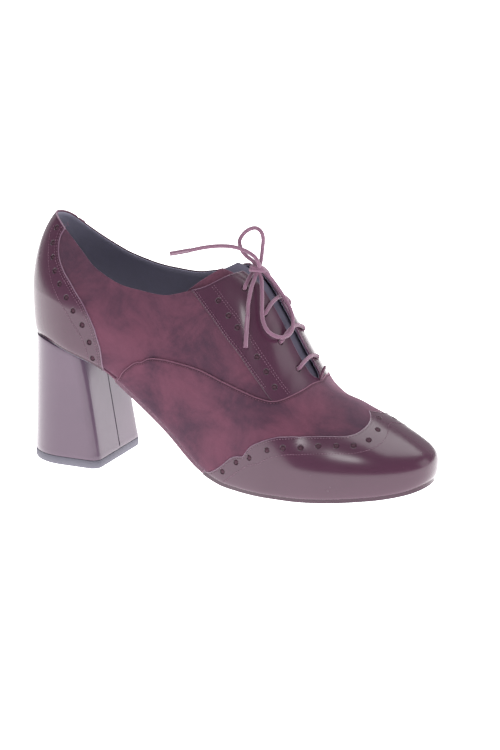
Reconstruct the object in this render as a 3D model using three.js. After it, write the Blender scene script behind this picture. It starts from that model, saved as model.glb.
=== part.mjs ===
// Lace-up women's shoe on a flared block heel, wingtip brogue pattern.
// Millimetres, X towards the toe, Y towards the medial side, Z up, origin on the floor
// under the middle of the shoe without its free laces.
import * as THREE from 'three';
import { mergeVertices } from 'three/addons/utils/BufferGeometryUtils.js';

// Driving dimensions
const shoeLength = 236.5;      // plan length of the last, back of heel to toe tip
const ballWidth = 77.5;        // plan width across the ball
const instepHeight = 110;      // ridge of the instep above the feather edge
const heelRise = 67.8;         // seat above the forefoot
const toeSpring = 8.8;         // toe tip above the ball
const upperWall = 2.0;         // leather and lining together
const soleThickness = 2.5;     // outsole at the forefoot edge
const soleBelly = 1.9;         // how far the tread lies below the sole's edge
const insoleThickness = 2.3;
const topPieceThickness = 4.4; // wear layer under the heel
const heelBase = { back: -1, breast: 48, width: 53, corner: 5 };     // plan of the heel at the floor
const heelSeat = { back: 1.8, breast: 38.5, width: 54, corner: 5 };  // and just under the seat
const tongueThickness = 2.0;
const laceDiameter = 2.1;
const agletDiameter = 2.6;
const fit = 0.3;               // clearance between pieces that touch
const tongueFit = 1.1;         // the tongue's clearance under the curved quarters
const laceFit = 0.45;          // lace above curved leather
const wallTurn = 0.4;          // the insole's edge reaches this far under the wall's turned edge

// The feather edge stands this high at the ball, with the tread's belly on the floor
const ballEdge = soleBelly + soleThickness + fit;

// Plan of the last: `at` is a share of shoeLength, `near` (lateral) and `far` (medial) shares of ballWidth
const plan = [
  { at: 0.000, near: 0.000, far: 0.000 },
  { at: 0.0275, near: 0.239, far: 0.239 },
  { at: 0.1205, near: 0.394, far: 0.387 },
  { at: 0.260, near: 0.400, far: 0.394 },
  { at: 0.408, near: 0.419, far: 0.387 },
  { at: 0.543, near: 0.475, far: 0.435 },
  { at: 0.670, near: 0.516, far: 0.481 },
  { at: 0.797, near: 0.488, far: 0.454 },
  { at: 0.907, near: 0.377, far: 0.338 },
  { at: 0.979, near: 0.200, far: 0.187 },
  { at: 1.000, near: 0.013, far: -0.013 },
];

// Sections along the last: feather height as `lift` of heelRise and `spring` of toeSpring,
// widest line and ridge above it as `side` and `crown` of instepHeight, `tuck` the share of
// the width that turns under, `arch` and `pinch` the curve exponents in height and width
const sections = [
  { at: 0.000, lift: 1.000, spring: 0, side: 0.223, crown: 0.932, tuck: 0.05, arch: 2.0, pinch: 0.95 },
  { at: 0.066, lift: 0.993, spring: 0, side: 0.218, crown: 0.827, tuck: 0.06, arch: 2.0, pinch: 0.86 },
  { at: 0.133, lift: 0.926, spring: 0, side: 0.223, crown: 0.750, tuck: 0.08, arch: 2.0, pinch: 0.76 },
  { at: 0.226, lift: 0.808, spring: 0, side: 0.205, crown: 0.750, tuck: 0.08, arch: 2.0, pinch: 1.0 },
  { at: 0.311, lift: 0.612, spring: 0, side: 0.216, crown: 0.816, tuck: 0.08, arch: 1.9, pinch: 1.4 },
  { at: 0.395, lift: 0.381, spring: 0, side: 0.232, crown: 0.914, tuck: 0.08, arch: 1.8, pinch: 1.8 },
  { at: 0.471, lift: 0.140, spring: 0, side: 0.253, crown: 1.012, tuck: 0.08, arch: 1.85, pinch: 1.85 },
  { at: 0.531, lift: 0.037, spring: 0, side: 0.225, crown: 1.030, tuck: 0.07, arch: 2.0, pinch: 1.9 },
  { at: 0.581, lift: 0.010, spring: 0, side: 0.187, crown: 0.974, tuck: 0.06, arch: 2.15, pinch: 1.95 },
  { at: 0.632, lift: 0.001, spring: 0, side: 0.161, crown: 0.815, tuck: 0.05, arch: 2.15, pinch: 1.95 },
  { at: 0.683, lift: 0, spring: 0, side: 0.144, crown: 0.621, tuck: 0.05, arch: 2.0, pinch: 1.9 },
  { at: 0.734, lift: 0, spring: 0.011, side: 0.134, crown: 0.475, tuck: 0.05, arch: 1.65, pinch: 1.8 },
  { at: 0.810, lift: 0, spring: 0.148, side: 0.114, crown: 0.386, tuck: 0.05, arch: 1.75, pinch: 1.8 },
  { at: 0.877, lift: 0, spring: 0.318, side: 0.100, crown: 0.309, tuck: 0.06, arch: 1.85, pinch: 2.0 },
  { at: 0.920, lift: 0, spring: 0.443, side: 0.090, crown: 0.256, tuck: 0.06, arch: 2.0, pinch: 2.1 },
  { at: 0.966, lift: 0, spring: 0.625, side: 0.080, crown: 0.214, tuck: 0.08, arch: 2.1, pinch: 2.2 },
  { at: 1.008, lift: 0, spring: 1.000, side: 0.065, crown: 0.176, tuck: 0.09, arch: 2.2, pinch: 2.3 },
];
// How far both walls lean in towards the collar at the back, as a share of the half width
const lean = [
  { at: 0.00, by: 0.45 },
  { at: 0.06, by: 0.42 },
  { at: 0.10, by: 0.32 },
  { at: 0.15, by: 0.17 },
  { at: 0.22, by: 0.05 },
  { at: 0.28, by: 0 },
  { at: 1.00, by: 0 },
];
// Where the sections close onto the centre line at heel and toe, as shares of shoeLength
const poles = { heel: 0.133, toe: 0.8985, soft: 0.017 };

// Collar line above the feather edge, as a share of instepHeight on each side
const collar = [
  { at: 0.042, near: 0.602, far: 0.602 },
  { at: 0.070, near: 0.583, far: 0.569 },
  { at: 0.099, near: 0.554, far: 0.526 },
  { at: 0.150, near: 0.510, far: 0.474 },
  { at: 0.197, near: 0.468, far: 0.450 },
  { at: 0.252, near: 0.471, far: 0.4745 },
  { at: 0.307, near: 0.527, far: 0.542 },
  { at: 0.383, near: 0.641, far: 0.669 },
  { at: 0.455, near: 0.826, far: 0.849 },
  { at: 0.518, near: 0.975, far: 0.988 },
  { at: 0.573, near: 1.036, far: 1.045 },
];
// Half the gap between the facings, as a share of ballWidth; it closes at the foot of the throat
const throat = [
  { at: 0.556, gap: 0.092 },
  { at: 0.598, gap: 0.080 },
  { at: 0.641, gap: 0.075 },
  { at: 0.674, gap: 0.075 },
  { at: 0.700, gap: 0.071 },
  { at: 0.7125, gap: 0.053 },
  { at: 0.721, gap: 0.000 },
];
const collarFront = 0.573;  // the collar line ends here, at the top of the facings
const throatFrom = 0.5;     // no throat further back than this

// Outsole: thickness as a share of soleThickness, belly as a share of soleBelly
const soleTable = [
  { at: 0.00, thick: 0.5, belly: 0 },
  { at: 0.20, thick: 0.5, belly: 0 },
  { at: 0.30, thick: 0.8, belly: 0 },
  { at: 0.45, thick: 1.0, belly: 0.2 },
  { at: 0.56, thick: 1.0, belly: 1.25 },
  { at: 0.65, thick: 1.0, belly: 1.45 },
  { at: 0.80, thick: 1.0, belly: 1.35 },
  { at: 1.00, thick: 1.0, belly: 0.6 },
];
const soleReach = 0.75;  // the outsole's edge, as a share of the way from the widest line to the feather

// Tongue: `at` a share of shoeLength, half width as a share of ballWidth
const tongueTable = [
  { at: 0.43, half: 0.270 },
  { at: 0.53, half: 0.258 },
  { at: 0.64, half: 0.240 },
  { at: 0.76, half: 0.190 },
];
const tongueEnds = { foot: 0.755, tip: 0.514, cornerDrop: 0.085 };

// Lace bars: station of the lateral eyelet, how far forward the medial one lies, and the
// reach of both from the ridge as a share of ballWidth
const bars = [
  { at: 0.561, skew: 0.003, reach: 0.185 },
  { at: 0.611, skew: 0.003, reach: 0.190 },
  { at: 0.650, skew: 0.000, reach: 0.185 },
  { at: 0.689, skew: 0.000, reach: 0.155 },
];

// The bow's knot over the top bar: centre, half sizes and turn about Z in degrees
const knot = { at: [137.4, -8.05, 119.3], half: [5.4, 3.5, 3.5], turn: 25 };

// Routes of the free laces, chosen by hand, in millimetres from the back of the last
const lateralEnd = [
  [139.6, -10.2, 122.3], [138.4, -11.6, 125.7], [135.9, -11.8, 127.9], [130.7, -11.8, 130.0],
  [124.3, -12.0, 131.1], [116.0, -12.0, 130.6], [107.6, -12.0, 128.9], [99.6, -12.0, 126.6],
];
const lateralAglet = [[99.2, -12.0, 126.5], [93.3, -12.0, 124.9], [87.5, -12.0, 123.4]];
const upperLoop = [
  [134.2, -6.6, 122.6], [129.6, -6.0, 125.3], [126.9, -6.0, 128.6], [125.8, -5.8, 132.9],
  [127.7, -5.5, 136.6], [131.1, -5.2, 139.6], [135.2, -5.0, 140.8], [138.0, -4.8, 139.1],
  [139.1, -4.5, 135.6], [138.7, -4.5, 130.1], [137.7, -5.4, 123.2],
];
const lowerLoop = [
  [139.8, -9.0, 115.0], [141.7, -12.1, 110.3], [143.3, -15.3, 105.7], [144.7, -18.5, 101.1],
  [146.5, -21.4, 95.5], [149.8, -22.2, 90.0], [154.2, -19.0, 86.4], [156.8, -13.4, 85.7],
  [157.2, -7.7, 87.6], [155.5, -2.8, 91.8], [152.5, 0.0, 97.2], [148.8, 0.0, 103.2],
  [145.4, -1.3, 108.9], [142.2, -4.6, 115.1],
];
const frontEnd = [
  [137.3, -11.2, 115.5], [137.6, -16.3, 111.3], [137.8, -19.1, 107.1], [137.7, -20.8, 102.7],
  [138.6, -23.3, 97.8],
];
const frontAglet = [[138.75, -23.9, 97.2], [139.8, -27.6, 89.7], [140.8, -30.8, 82.0]];

// Heel form: share of its length taken by the rounded back, the back's exponent, the waist's
// share of the width, and how far the cap's spine stays inside the back and the breast
const heelForm = { round: 0.7, power: 0.92, waist: 0.03, spine: 8 };

// Mesh densities
const columns = 50;      // along one side of the upper, heel to toe
const rows = 11;         // feather to opening
const soleColumns = 44;  // the same on outsole and insole
const plateRings = 4;    // centre line to edge on outsole and insole
const heelLevels = 8;
const heelBackSteps = 20;
const tongueSteps = { long: 14, across: 12 };
const cordSides = 8;
const cordStep = 4;      // along a cord, about two diameters
const openingSteps = 200;

// The value between low and high up to which isBelow holds
function bisect(isBelow, low, high) {
  for (let pass = 0; pass < 40; pass++) {
    const middle = (low + high) / 2;
    if (isBelow(middle)) low = middle;
    else high = middle;
  }
  return low;
}

// Smooth curve through one column of a table
function along(table, key, at) {
  const last = table.length - 1;
  const t = Math.min(Math.max(at, table[0].at), table[last].at);
  let i = 0;
  while (i < last - 1 && t > table[i + 1].at) i++;
  const slope = (k) => {
    const a = table[Math.max(k - 1, 0)];
    const b = table[Math.min(k + 1, last)];
    return (b[key] - a[key]) / (b.at - a.at);
  };
  const span = table[i + 1].at - table[i].at;
  const s = (t - table[i].at) / span;
  const s2 = s * s;
  const s3 = s2 * s;
  return (2 * s3 - 3 * s2 + 1) * table[i][key] + (s3 - 2 * s2 + s) * span * slope(i)
    + (3 * s2 - 2 * s3) * table[i + 1][key] + (s3 - s2) * span * slope(i + 1);
}

// Plan edge of the last; u runs 0 at the heel to 1 at the toe, side is -1 near and 1 far
function planEdge(u, side) {
  const count = plan.length - 1;
  const own = side < 0 ? 'near' : 'far';
  const other = side < 0 ? 'far' : 'near';
  const point = (k) => {
    if (k < 0) return [plan[1].at, -side * plan[1][other]];
    if (k > count) return [plan[count - 1].at, -side * plan[count - 1][other]];
    return [plan[k].at, side * plan[k][own]];
  };
  const f = Math.min(Math.max(u, 0), 1) * count;
  const i = Math.min(Math.floor(f), count - 1);
  const t = f - i;
  const [p0, p1, p2, p3] = [point(i - 1), point(i), point(i + 1), point(i + 2)];
  const curve = (k) => 0.5 * (2 * p1[k] + (p2[k] - p0[k]) * t
    + (2 * p0[k] - 5 * p1[k] + 4 * p2[k] - p3[k]) * t * t
    + (3 * p1[k] - p0[k] - 3 * p2[k] + p3[k]) * t * t * t);
  return { at: curve(0), y: curve(1) * ballWidth };
}

function ridgeStation(at) {
  const r = poles.soft;
  const low = poles.heel + r * Math.log1p(Math.exp((at - poles.heel) / r));
  return poles.toe - r * Math.log1p(Math.exp((poles.toe - low) / r));
}

const featherHeight = (at) => ballEdge + along(sections, 'lift', at) * heelRise
  + along(sections, 'spring', at) * toeSpring;
const ridgeHeight = (at) => featherHeight(at) + along(sections, 'crown', at) * instepHeight;

// A point on the outside of the last: a is -1 at the feather edge, 0 at the widest line, 1 on the ridge
function lastPoint(u, side, a) {
  const edge = planEdge(u, side);
  const pole = ridgeStation(edge.at);
  const up = Math.min(Math.max(a, 0), 1) * Math.PI / 2;
  const down = Math.min(Math.max(-a, 0), 1);
  const under = 1 - along(sections, 'tuck', edge.at) * Math.pow(down, 2.2);
  let reach = a >= 0 ? Math.cos(up) : under;
  let at = edge.at;
  for (let pass = 0; pass < 3; pass++) {
    at = pole + (edge.at - pole) * reach;
    if (a >= 0) reach = a >= 1 ? 0 : Math.pow(Math.cos(up), 2 / along(sections, 'pinch', at));
  }
  at = pole + (edge.at - pole) * reach;
  const feather = featherHeight(at);
  const widest = along(sections, 'side', at) * instepHeight;
  const crown = along(sections, 'crown', at) * instepHeight;
  const height = a >= 0
    ? widest + (crown - widest) * Math.pow(Math.sin(up), 2 / along(sections, 'arch', at))
    : widest * (1 - Math.sin(down * Math.PI / 2));
  const narrowed = 1 - along(lean, 'by', at) * Math.sin(up);
  return new THREE.Vector3(at * shoeLength, edge.y * reach * narrowed, feather + height);
}

// Outward normal of the last, in the X-Z plane on the ridge and down at the feather edge
function lastNormal(u, side, a) {
  const step = 1e-3;
  if (a >= 1) {
    const at = ridgeStation(planEdge(u, side).at);
    const slope = (ridgeHeight(at + step) - ridgeHeight(at - step)) / (2 * step * shoeLength);
    return new THREE.Vector3(-slope, 0, 1).normalize();
  }
  if (a <= -1) return bottomNormal(lastPoint(u, side, a).x / shoeLength).negate();
  const alongU = lastPoint(Math.min(u + step, 1), side, a).sub(lastPoint(Math.max(u - step, 0), side, a));
  const alongA = lastPoint(u, side, Math.min(a + step, 1)).sub(lastPoint(u, side, Math.max(a - step, -1)));
  const normal = alongU.cross(alongA).multiplyScalar(-side).normalize();
  if (u <= 0) normal.y = 0;
  return normal.normalize();
}

// Upward normal of the last's bottom, which is flat across the foot
function bottomNormal(at) {
  const step = 1e-3;
  const slope = (featherHeight(at + step) - featherHeight(at - step)) / (2 * step * shoeLength);
  return new THREE.Vector3(-slope, 0, 1).normalize();
}

// The highest a that is still leather, below the collar and outside the throat
function openingAt(u, side) {
  const own = side < 0 ? 'near' : 'far';
  const cut = (a) => {
    const p = lastPoint(u, side, a);
    const at = p.x / shoeLength;
    const collarHeight = featherHeight(at) + along(collar, own, at) * instepHeight;
    const aboveCollar = at < collarFront && p.z > collarHeight;
    const inThroat = at > throatFrom && at < throat[throat.length - 1].at
      && Math.abs(p.y) < along(throat, 'gap', at) * ballWidth;
    return aboveCollar || inThroat;
  };
  let first = 0;
  while (first < openingSteps && !cut(first / openingSteps)) first++;
  if (first === openingSteps) return 1;
  return bisect((a) => !cut(a), (first - 1) / openingSteps, first / openingSteps);
}

// The column whose ridge point lies at a station
const columnAt = (at, side) => bisect((u) => ridgeStation(planEdge(u, side).at) < at, 0, 1);

// Columns from heel to toe, with one exactly at the foot of the throat
function stations(count) {
  const list = Array.from({ length: count + 1 }, (_, k) => k / count);
  const u = columnAt(throat[throat.length - 1].at, -1);
  const foot = Math.round(u * count);
  list[foot] = u;
  return { list, foot };
}

// The columns as one closed loop: down the near side to the toe and back along the far side
function loopOf(list) {
  const near = list.map((u, k) => ({ u, side: -1, k }));
  const far = list.map((u, k) => ({ u, side: 1, k })).slice(1, -1).reverse();
  return near.concat(far);
}

// Triangles from quads, with the points that coincide merged and flat slivers dropped
function solidOf(faces) {
  const position = [];
  for (const face of faces) {
    for (const k of face.length === 4 ? [0, 1, 2, 0, 2, 3] : [0, 1, 2]) {
      position.push(face[k].x, face[k].y, face[k].z);
    }
  }
  const loose = new THREE.BufferGeometry();
  loose.setAttribute('position', new THREE.Float32BufferAttribute(position, 3));
  const merged = mergeVertices(loose, 1e-3);
  const index = [];
  for (let i = 0; i < merged.index.count; i += 3) {
    const [a, b, c] = [0, 1, 2].map((k) => merged.index.getX(i + k));
    if (a !== b && b !== c && c !== a) index.push(a, b, c);
  }
  merged.setIndex(index);
  merged.computeVertexNormals();
  return merged;
}

// Quads between two loops of points that run the same way round
function band(lower, upper, closed = true) {
  const count = closed ? lower.length : lower.length - 1;
  return Array.from({ length: count }, (_, i) => {
    const j = (i + 1) % lower.length;
    return [lower[i], lower[j], upper[j], upper[i]];
  });
}

const flipped = (faces) => faces.map((face) => [...face].reverse());

function upperGeometry() {
  const { list, foot } = stations(columns);
  const loop = loopOf(list);
  const opening = loop.map((c) => (c.k >= foot ? 1 : openingAt(c.u, c.side)));
  const outer = [];
  const inner = [];
  for (let row = 0; row <= rows; row++) {
    const share = row / rows;
    outer.push(loop.map((c, i) => lastPoint(c.u, c.side, -1 + (opening[i] + 1) * share)));
    inner.push(loop.map((c, i) => {
      const a = -1 + (opening[i] + 1) * share;
      return lastPoint(c.u, c.side, a).addScaledVector(lastNormal(c.u, c.side, a), -upperWall);
    }));
  }
  const faces = [];
  for (let row = 0; row < rows; row++) {
    faces.push(...band(outer[row], outer[row + 1]));
    faces.push(...flipped(band(inner[row], inner[row + 1])));
  }
  faces.push(...flipped(band(outer[0], inner[0])));
  // The rim runs round collar and throat; past the foot of the throat the two sides join
  const rim = band(outer[rows], inner[rows]);
  const open = loop.map((c, i) => c.k < foot || loop[(i + 1) % loop.length].k < foot);
  faces.push(...rim.filter((_, i) => open[i]));
  return solidOf(faces);
}

// A plate under or inside the last: rings from the centre line to an edge, top and bottom
function plateGeometry(edgeOf, topOf, bottomOf) {
  const ringShares = Array.from({ length: plateRings + 1 }, (_, r) => r / plateRings);
  const loop = loopOf(stations(soleColumns).list);
  const ring = (share, place) => loop.map((c) => {
    const edge = planEdge(c.u, c.side);
    const pole = ridgeStation(edge.at);
    const reach = edgeOf(c, edge, pole) * share;
    return place(pole + (edge.at - pole) * reach, edge.y * reach, share);
  });
  const top = ringShares.map((share) => ring(share, topOf));
  const bottom = ringShares.map((share) => ring(share, bottomOf));
  const faces = [];
  for (let r = 0; r < plateRings; r++) {
    faces.push(...flipped(band(top[r], top[r + 1])));
    faces.push(...band(bottom[r], bottom[r + 1]));
  }
  faces.push(...band(bottom[plateRings], top[plateRings]));
  return solidOf(faces);
}

// A point a given depth below the last's bottom, measured square to it
function underLast(at, y, depth) {
  const p = new THREE.Vector3(at * shoeLength, y, featherHeight(at));
  return p.addScaledVector(bottomNormal(at), -depth);
}

const soleDepth = (at) => fit + along(soleTable, 'thick', at) * soleThickness;

function outsoleGeometry() {
  const edgeOf = (c, edge) => 1 - along(sections, 'tuck', edge.at) * soleReach;
  const bottomOf = (at, y, share) => {
    const belly = along(soleTable, 'belly', at) * soleBelly * (1 - share * share);
    const p = underLast(at, y, soleDepth(at) + belly);
    p.z = Math.max(p.z, 0);
    return p;
  };
  return plateGeometry(edgeOf, (at, y) => underLast(at, y, fit), bottomOf);
}

function insoleGeometry() {
  const edgeOf = (c, edge, pole) => {
    const feather = 1 - along(sections, 'tuck', edge.at);
    const span = Math.hypot((edge.at - pole) * shoeLength, edge.y) * feather;
    return feather * (1 - (upperWall - wallTurn) / span);
  };
  return plateGeometry(edgeOf,
    (at, y) => underLast(at, y, -insoleThickness), (at, y) => underLast(at, y, 0));
}

// Plan of the heel: round back, straight sides, flat breast with soft corners
function heelRing({ back, breast, width, corner }) {
  const half = width / 2;
  const centre = back + Math.min(half, heelForm.round * (breast - back));
  const points = [];
  for (let i = 0; i <= heelBackSteps; i++) {
    const angle = -Math.PI / 2 + Math.PI * i / heelBackSteps;
    const c = Math.max(Math.cos(angle), 0);
    points.push([centre - (centre - back) * Math.pow(c, heelForm.power), half * Math.sin(angle)]);
  }
  const front = breast - corner;
  for (let i = 1; i <= 3; i++) points.push([centre + (front - centre) * i / 3, half]);
  for (let i = 1; i <= 3; i++) {
    const angle = Math.PI / 2 * (1 - i / 3);
    points.push([front + corner * Math.cos(angle), half - corner + corner * Math.sin(angle)]);
  }
  const flat = half - corner;
  for (let i = 1; i <= 5; i++) points.push([breast, flat - 2 * flat * i / 6]);
  for (let i = 0; i <= 3; i++) {
    const angle = -Math.PI / 2 * i / 3;
    points.push([front + corner * Math.cos(angle), -half + corner + corner * Math.sin(angle)]);
  }
  for (let i = 1; i < 3; i++) points.push([front - (front - centre) * i / 3, -half]);
  return points;
}

// Underside of the outsole above a heel point, less the clearance
function seatHeight(x) {
  const at = x / shoeLength;
  return featherHeight(at) - (soleDepth(at) + fit) / bottomNormal(at).z;
}

function heelGeometry() {
  const base = heelRing(heelBase);
  const seat = heelRing(heelSeat);
  const floor = topPieceThickness + fit;
  const ringAt = (level) => base.map(([bx, by], i) => {
    const [sx, sy] = seat[i];
    const t = level / heelLevels;
    const waist = 1 - heelForm.waist * Math.sin(Math.PI * t);
    const x = bx + (sx - bx) * t;
    return new THREE.Vector3(x, (by + (sy - by) * t) * waist, floor + (seatHeight(sx) - floor) * t);
  });
  const rings = Array.from({ length: heelLevels + 1 }, (_, level) => ringAt(level));
  const faces = [];
  for (let level = 0; level < heelLevels; level++) {
    faces.push(...band(rings[level + 1], rings[level]));
  }
  const spine = (x) => Math.min(Math.max(x, heelSeat.back + heelForm.spine),
    heelSeat.breast - heelForm.spine);
  const cap = (share) => rings[heelLevels].map((p) => {
    const x = spine(p.x) + (p.x - spine(p.x)) * share;
    return new THREE.Vector3(x, p.y * share, seatHeight(x));
  });
  const capRings = [0, 0.5, 1].map(cap);
  faces.push(...band(capRings[0], capRings[1]), ...band(capRings[1], capRings[2]));
  const foot = rings[0].map((p) => new THREE.Vector3(spine(p.x), 0, floor));
  faces.push(...band(rings[0], foot));
  return solidOf(faces);
}

function topPieceGeometry() {
  const outline = heelRing(heelBase).map(([x, y]) => new THREE.Vector2(x, y));
  const shape = new THREE.Shape(outline);
  return new THREE.ExtrudeGeometry(shape, { depth: topPieceThickness, bevelEnabled: false });
}

// A point of the last above plan station `at` and across at y, sunk by a depth
function onInstep(at, y, depth) {
  const side = y < 0 ? -1 : 1;
  const u = columnAt(at, side);
  const a = y === 0 ? 1 : bisect((a) => Math.abs(lastPoint(u, side, a).y) > Math.abs(y), 0, 1);
  return lastPoint(u, side, a).addScaledVector(lastNormal(u, side, a), -depth);
}

function tongueGeometry() {
  const { long, across } = tongueSteps;
  const depth = upperWall + tongueFit;
  const sheet = (sink) => Array.from({ length: across + 1 }, (_, j) => {
    const s = -1 + 2 * j / across;
    const tip = tongueEnds.tip - tongueEnds.cornerDrop * s * s;
    return Array.from({ length: long + 1 }, (_, i) => {
      const at = tip + (tongueEnds.foot - tip) * i / long;
      return onInstep(at, s * along(tongueTable, 'half', at) * ballWidth, sink);
    });
  });
  const top = sheet(depth);
  const under = sheet(depth + tongueThickness);
  const faces = [];
  for (let j = 0; j < across; j++) {
    faces.push(...band(top[j], top[j + 1], false));
    faces.push(...flipped(band(under[j], under[j + 1], false)));
  }
  faces.push(...band(under[0], top[0], false));
  faces.push(...flipped(band(under[across], top[across], false)));
  const endOf = (sheetLines, i) => sheetLines.map((line) => line[i]);
  faces.push(...flipped(band(endOf(under, 0), endOf(top, 0), false)));
  faces.push(...band(endOf(under, long), endOf(top, long), false));
  return solidOf(faces);
}

// A round cord along a smooth curve through the given points
function cordGeometry(points, diameter) {
  const section = new THREE.Shape();
  for (let i = 0; i < cordSides; i++) {
    const angle = 2 * Math.PI * i / cordSides;
    const place = [diameter / 2 * Math.cos(angle), diameter / 2 * Math.sin(angle)];
    if (i === 0) section.moveTo(...place);
    else section.lineTo(...place);
  }
  const curve = new THREE.CatmullRomCurve3(points, false, 'centripetal');
  const steps = Math.ceil(curve.getLength() / cordStep);
  return new THREE.ExtrudeGeometry(section, { steps, extrudePath: curve, bevelEnabled: false });
}

// A bar lies on both facings and bridges the gap between them
function barGeometry({ at, skew, reach }) {
  const lift = -(laceDiameter / 2 + laceFit);
  const half = reach * ballWidth;
  const points = [-1, -0.72, -0.45, 0.45, 0.72, 1].map((s) =>
    onInstep(at + skew * (s + 1) / 2, s * half, lift));
  return cordGeometry(points, laceDiameter);
}

function knotGeometry({ at, half, turn }) {
  const ball = new THREE.SphereGeometry(1, 16, 8);
  ball.scale(...half).rotateZ(THREE.MathUtils.degToRad(turn)).translate(...at);
  return ball;
}

const routed = (points, diameter) =>
  cordGeometry(points.map((p) => new THREE.Vector3(...p)), diameter);

const suede = { color: 0x6b3a4c, roughness: 0.9 };
const gloss = { color: 0x5c3340, roughness: 0.25 };
const rubber = { color: 0x34363d, roughness: 0.7 };
const sock = { color: 0x2b2b33, roughness: 0.6 };
const lining = { color: 0x3c3e4b, roughness: 0.8 };
const cord = { color: 0xa8788c, roughness: 0.75 };
const tip = { color: 0x9c7486, roughness: 0.35 };

const shoe = new THREE.Group();
const freeLaces = new THREE.Group();

function add(group, name, geometry, finish) {
  const mesh = new THREE.Mesh(geometry, new THREE.MeshStandardMaterial({ metalness: 0, ...finish }));
  mesh.name = name;
  group.add(mesh);
}

add(shoe, 'upper', upperGeometry(), suede);
add(shoe, 'outsole', outsoleGeometry(), rubber);
add(shoe, 'insole', insoleGeometry(), sock);
add(shoe, 'heel', heelGeometry(), gloss);
add(shoe, 'heel_top_piece', topPieceGeometry(), rubber);
add(shoe, 'tongue', tongueGeometry(), lining);
bars.forEach((bar, i) => add(shoe, `lace_bar_${i + 1}`, barGeometry(bar), cord));
add(freeLaces, 'lace_knot', knotGeometry(knot), cord);
add(freeLaces, 'lace_loop_upper', routed(upperLoop, laceDiameter), cord);
add(freeLaces, 'lace_loop_lower', routed(lowerLoop, laceDiameter), cord);
add(freeLaces, 'lace_end_1', routed(lateralEnd, laceDiameter), cord);
add(freeLaces, 'lace_end_2', routed(frontEnd, laceDiameter), cord);
add(freeLaces, 'aglet_1', routed(lateralAglet, agletDiameter), tip);
add(freeLaces, 'aglet_2', routed(frontAglet, agletDiameter), tip);

// Origin on the floor under the middle of the shoe's box
const box = new THREE.Box3().setFromObject(shoe, true);
const group = new THREE.Group();
const placed = new THREE.Group();
placed.position.set(-(box.min.x + box.max.x) / 2, -(box.min.y + box.max.y) / 2, 0);
placed.add(shoe, freeLaces);
group.add(placed);
export default group;
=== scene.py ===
# Lace-up shoe on a block heel: fine leather pieces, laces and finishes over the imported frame.
# Stations run from the back of the heel towards the toe; a is -1 at the feather edge,
# 0 at the widest line and 1 on the ridge. Sizes are in millimetres until a mesh is made.
import math
import bpy
import numpy as np
from mathutils import Matrix, Vector


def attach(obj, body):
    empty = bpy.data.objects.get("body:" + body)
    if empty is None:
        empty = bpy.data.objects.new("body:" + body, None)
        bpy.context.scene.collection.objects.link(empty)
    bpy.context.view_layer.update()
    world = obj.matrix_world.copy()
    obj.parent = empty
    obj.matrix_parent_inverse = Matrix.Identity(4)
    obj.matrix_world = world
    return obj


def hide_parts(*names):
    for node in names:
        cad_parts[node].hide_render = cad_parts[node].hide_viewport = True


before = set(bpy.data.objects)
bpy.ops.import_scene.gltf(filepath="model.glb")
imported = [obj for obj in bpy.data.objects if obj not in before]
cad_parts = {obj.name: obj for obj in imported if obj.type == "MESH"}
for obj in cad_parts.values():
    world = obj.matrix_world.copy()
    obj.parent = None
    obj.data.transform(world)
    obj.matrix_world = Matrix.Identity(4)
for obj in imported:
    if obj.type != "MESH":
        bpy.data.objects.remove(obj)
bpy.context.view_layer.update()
print("stage: frame loaded,", len(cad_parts), "nodes")

last = {
    "length": 236.5, "ball": 77.5, "instep": 110.0, "rise": 67.8, "spring": 8.8, "edge": 4.7,
    "poleHeel": 0.133, "poleToe": 0.8985, "poleSoft": 0.017,
    "place": (-117.746, 1.341, 0.0),  # the last's own corner in the part's frame
}
# plan edge: station, near and far half widths
planRows = np.array([
    (0.000, 0.000, 0.000), (0.0275, 0.239, 0.239), (0.1205, 0.394, 0.387), (0.260, 0.400, 0.394),
    (0.408, 0.419, 0.387), (0.543, 0.475, 0.435), (0.670, 0.516, 0.481), (0.797, 0.488, 0.454),
    (0.907, 0.377, 0.338), (0.979, 0.200, 0.187), (1.000, 0.013, -0.013)])
# sections: station, lift, spring, widest line, crown, tuck, arch, pinch
sectionRows = np.array([
    (0.000, 1.000, 0, 0.223, 0.932, 0.05, 2.0, 0.95), (0.066, 0.993, 0, 0.218, 0.827, 0.06, 2.0, 0.86),
    (0.133, 0.926, 0, 0.223, 0.750, 0.08, 2.0, 0.76), (0.226, 0.808, 0, 0.205, 0.750, 0.08, 2.0, 1.0),
    (0.311, 0.612, 0, 0.216, 0.816, 0.08, 1.9, 1.4), (0.395, 0.381, 0, 0.232, 0.914, 0.08, 1.8, 1.8),
    (0.471, 0.140, 0, 0.253, 1.012, 0.08, 1.85, 1.85), (0.531, 0.037, 0, 0.225, 1.030, 0.07, 2.0, 1.9),
    (0.581, 0.010, 0, 0.187, 0.974, 0.06, 2.15, 1.95), (0.632, 0.001, 0, 0.161, 0.815, 0.05, 2.15, 1.95),
    (0.683, 0, 0, 0.144, 0.621, 0.05, 2.0, 1.9), (0.734, 0, 0.011, 0.134, 0.475, 0.05, 1.65, 1.8),
    (0.810, 0, 0.148, 0.114, 0.386, 0.05, 1.75, 1.8), (0.877, 0, 0.318, 0.100, 0.309, 0.06, 1.85, 2.0),
    (0.920, 0, 0.443, 0.090, 0.256, 0.06, 2.0, 2.1), (0.966, 0, 0.625, 0.080, 0.214, 0.08, 2.1, 2.2),
    (1.008, 0, 1.000, 0.065, 0.176, 0.09, 2.2, 2.3)])
# how far both walls lean in towards the collar at the back: station, share of the half width
leanRows = np.array([(0, 0.45), (0.06, 0.42), (0.10, 0.32), (0.15, 0.17), (0.22, 0.05), (0.28, 0), (1, 0)], float)
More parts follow.
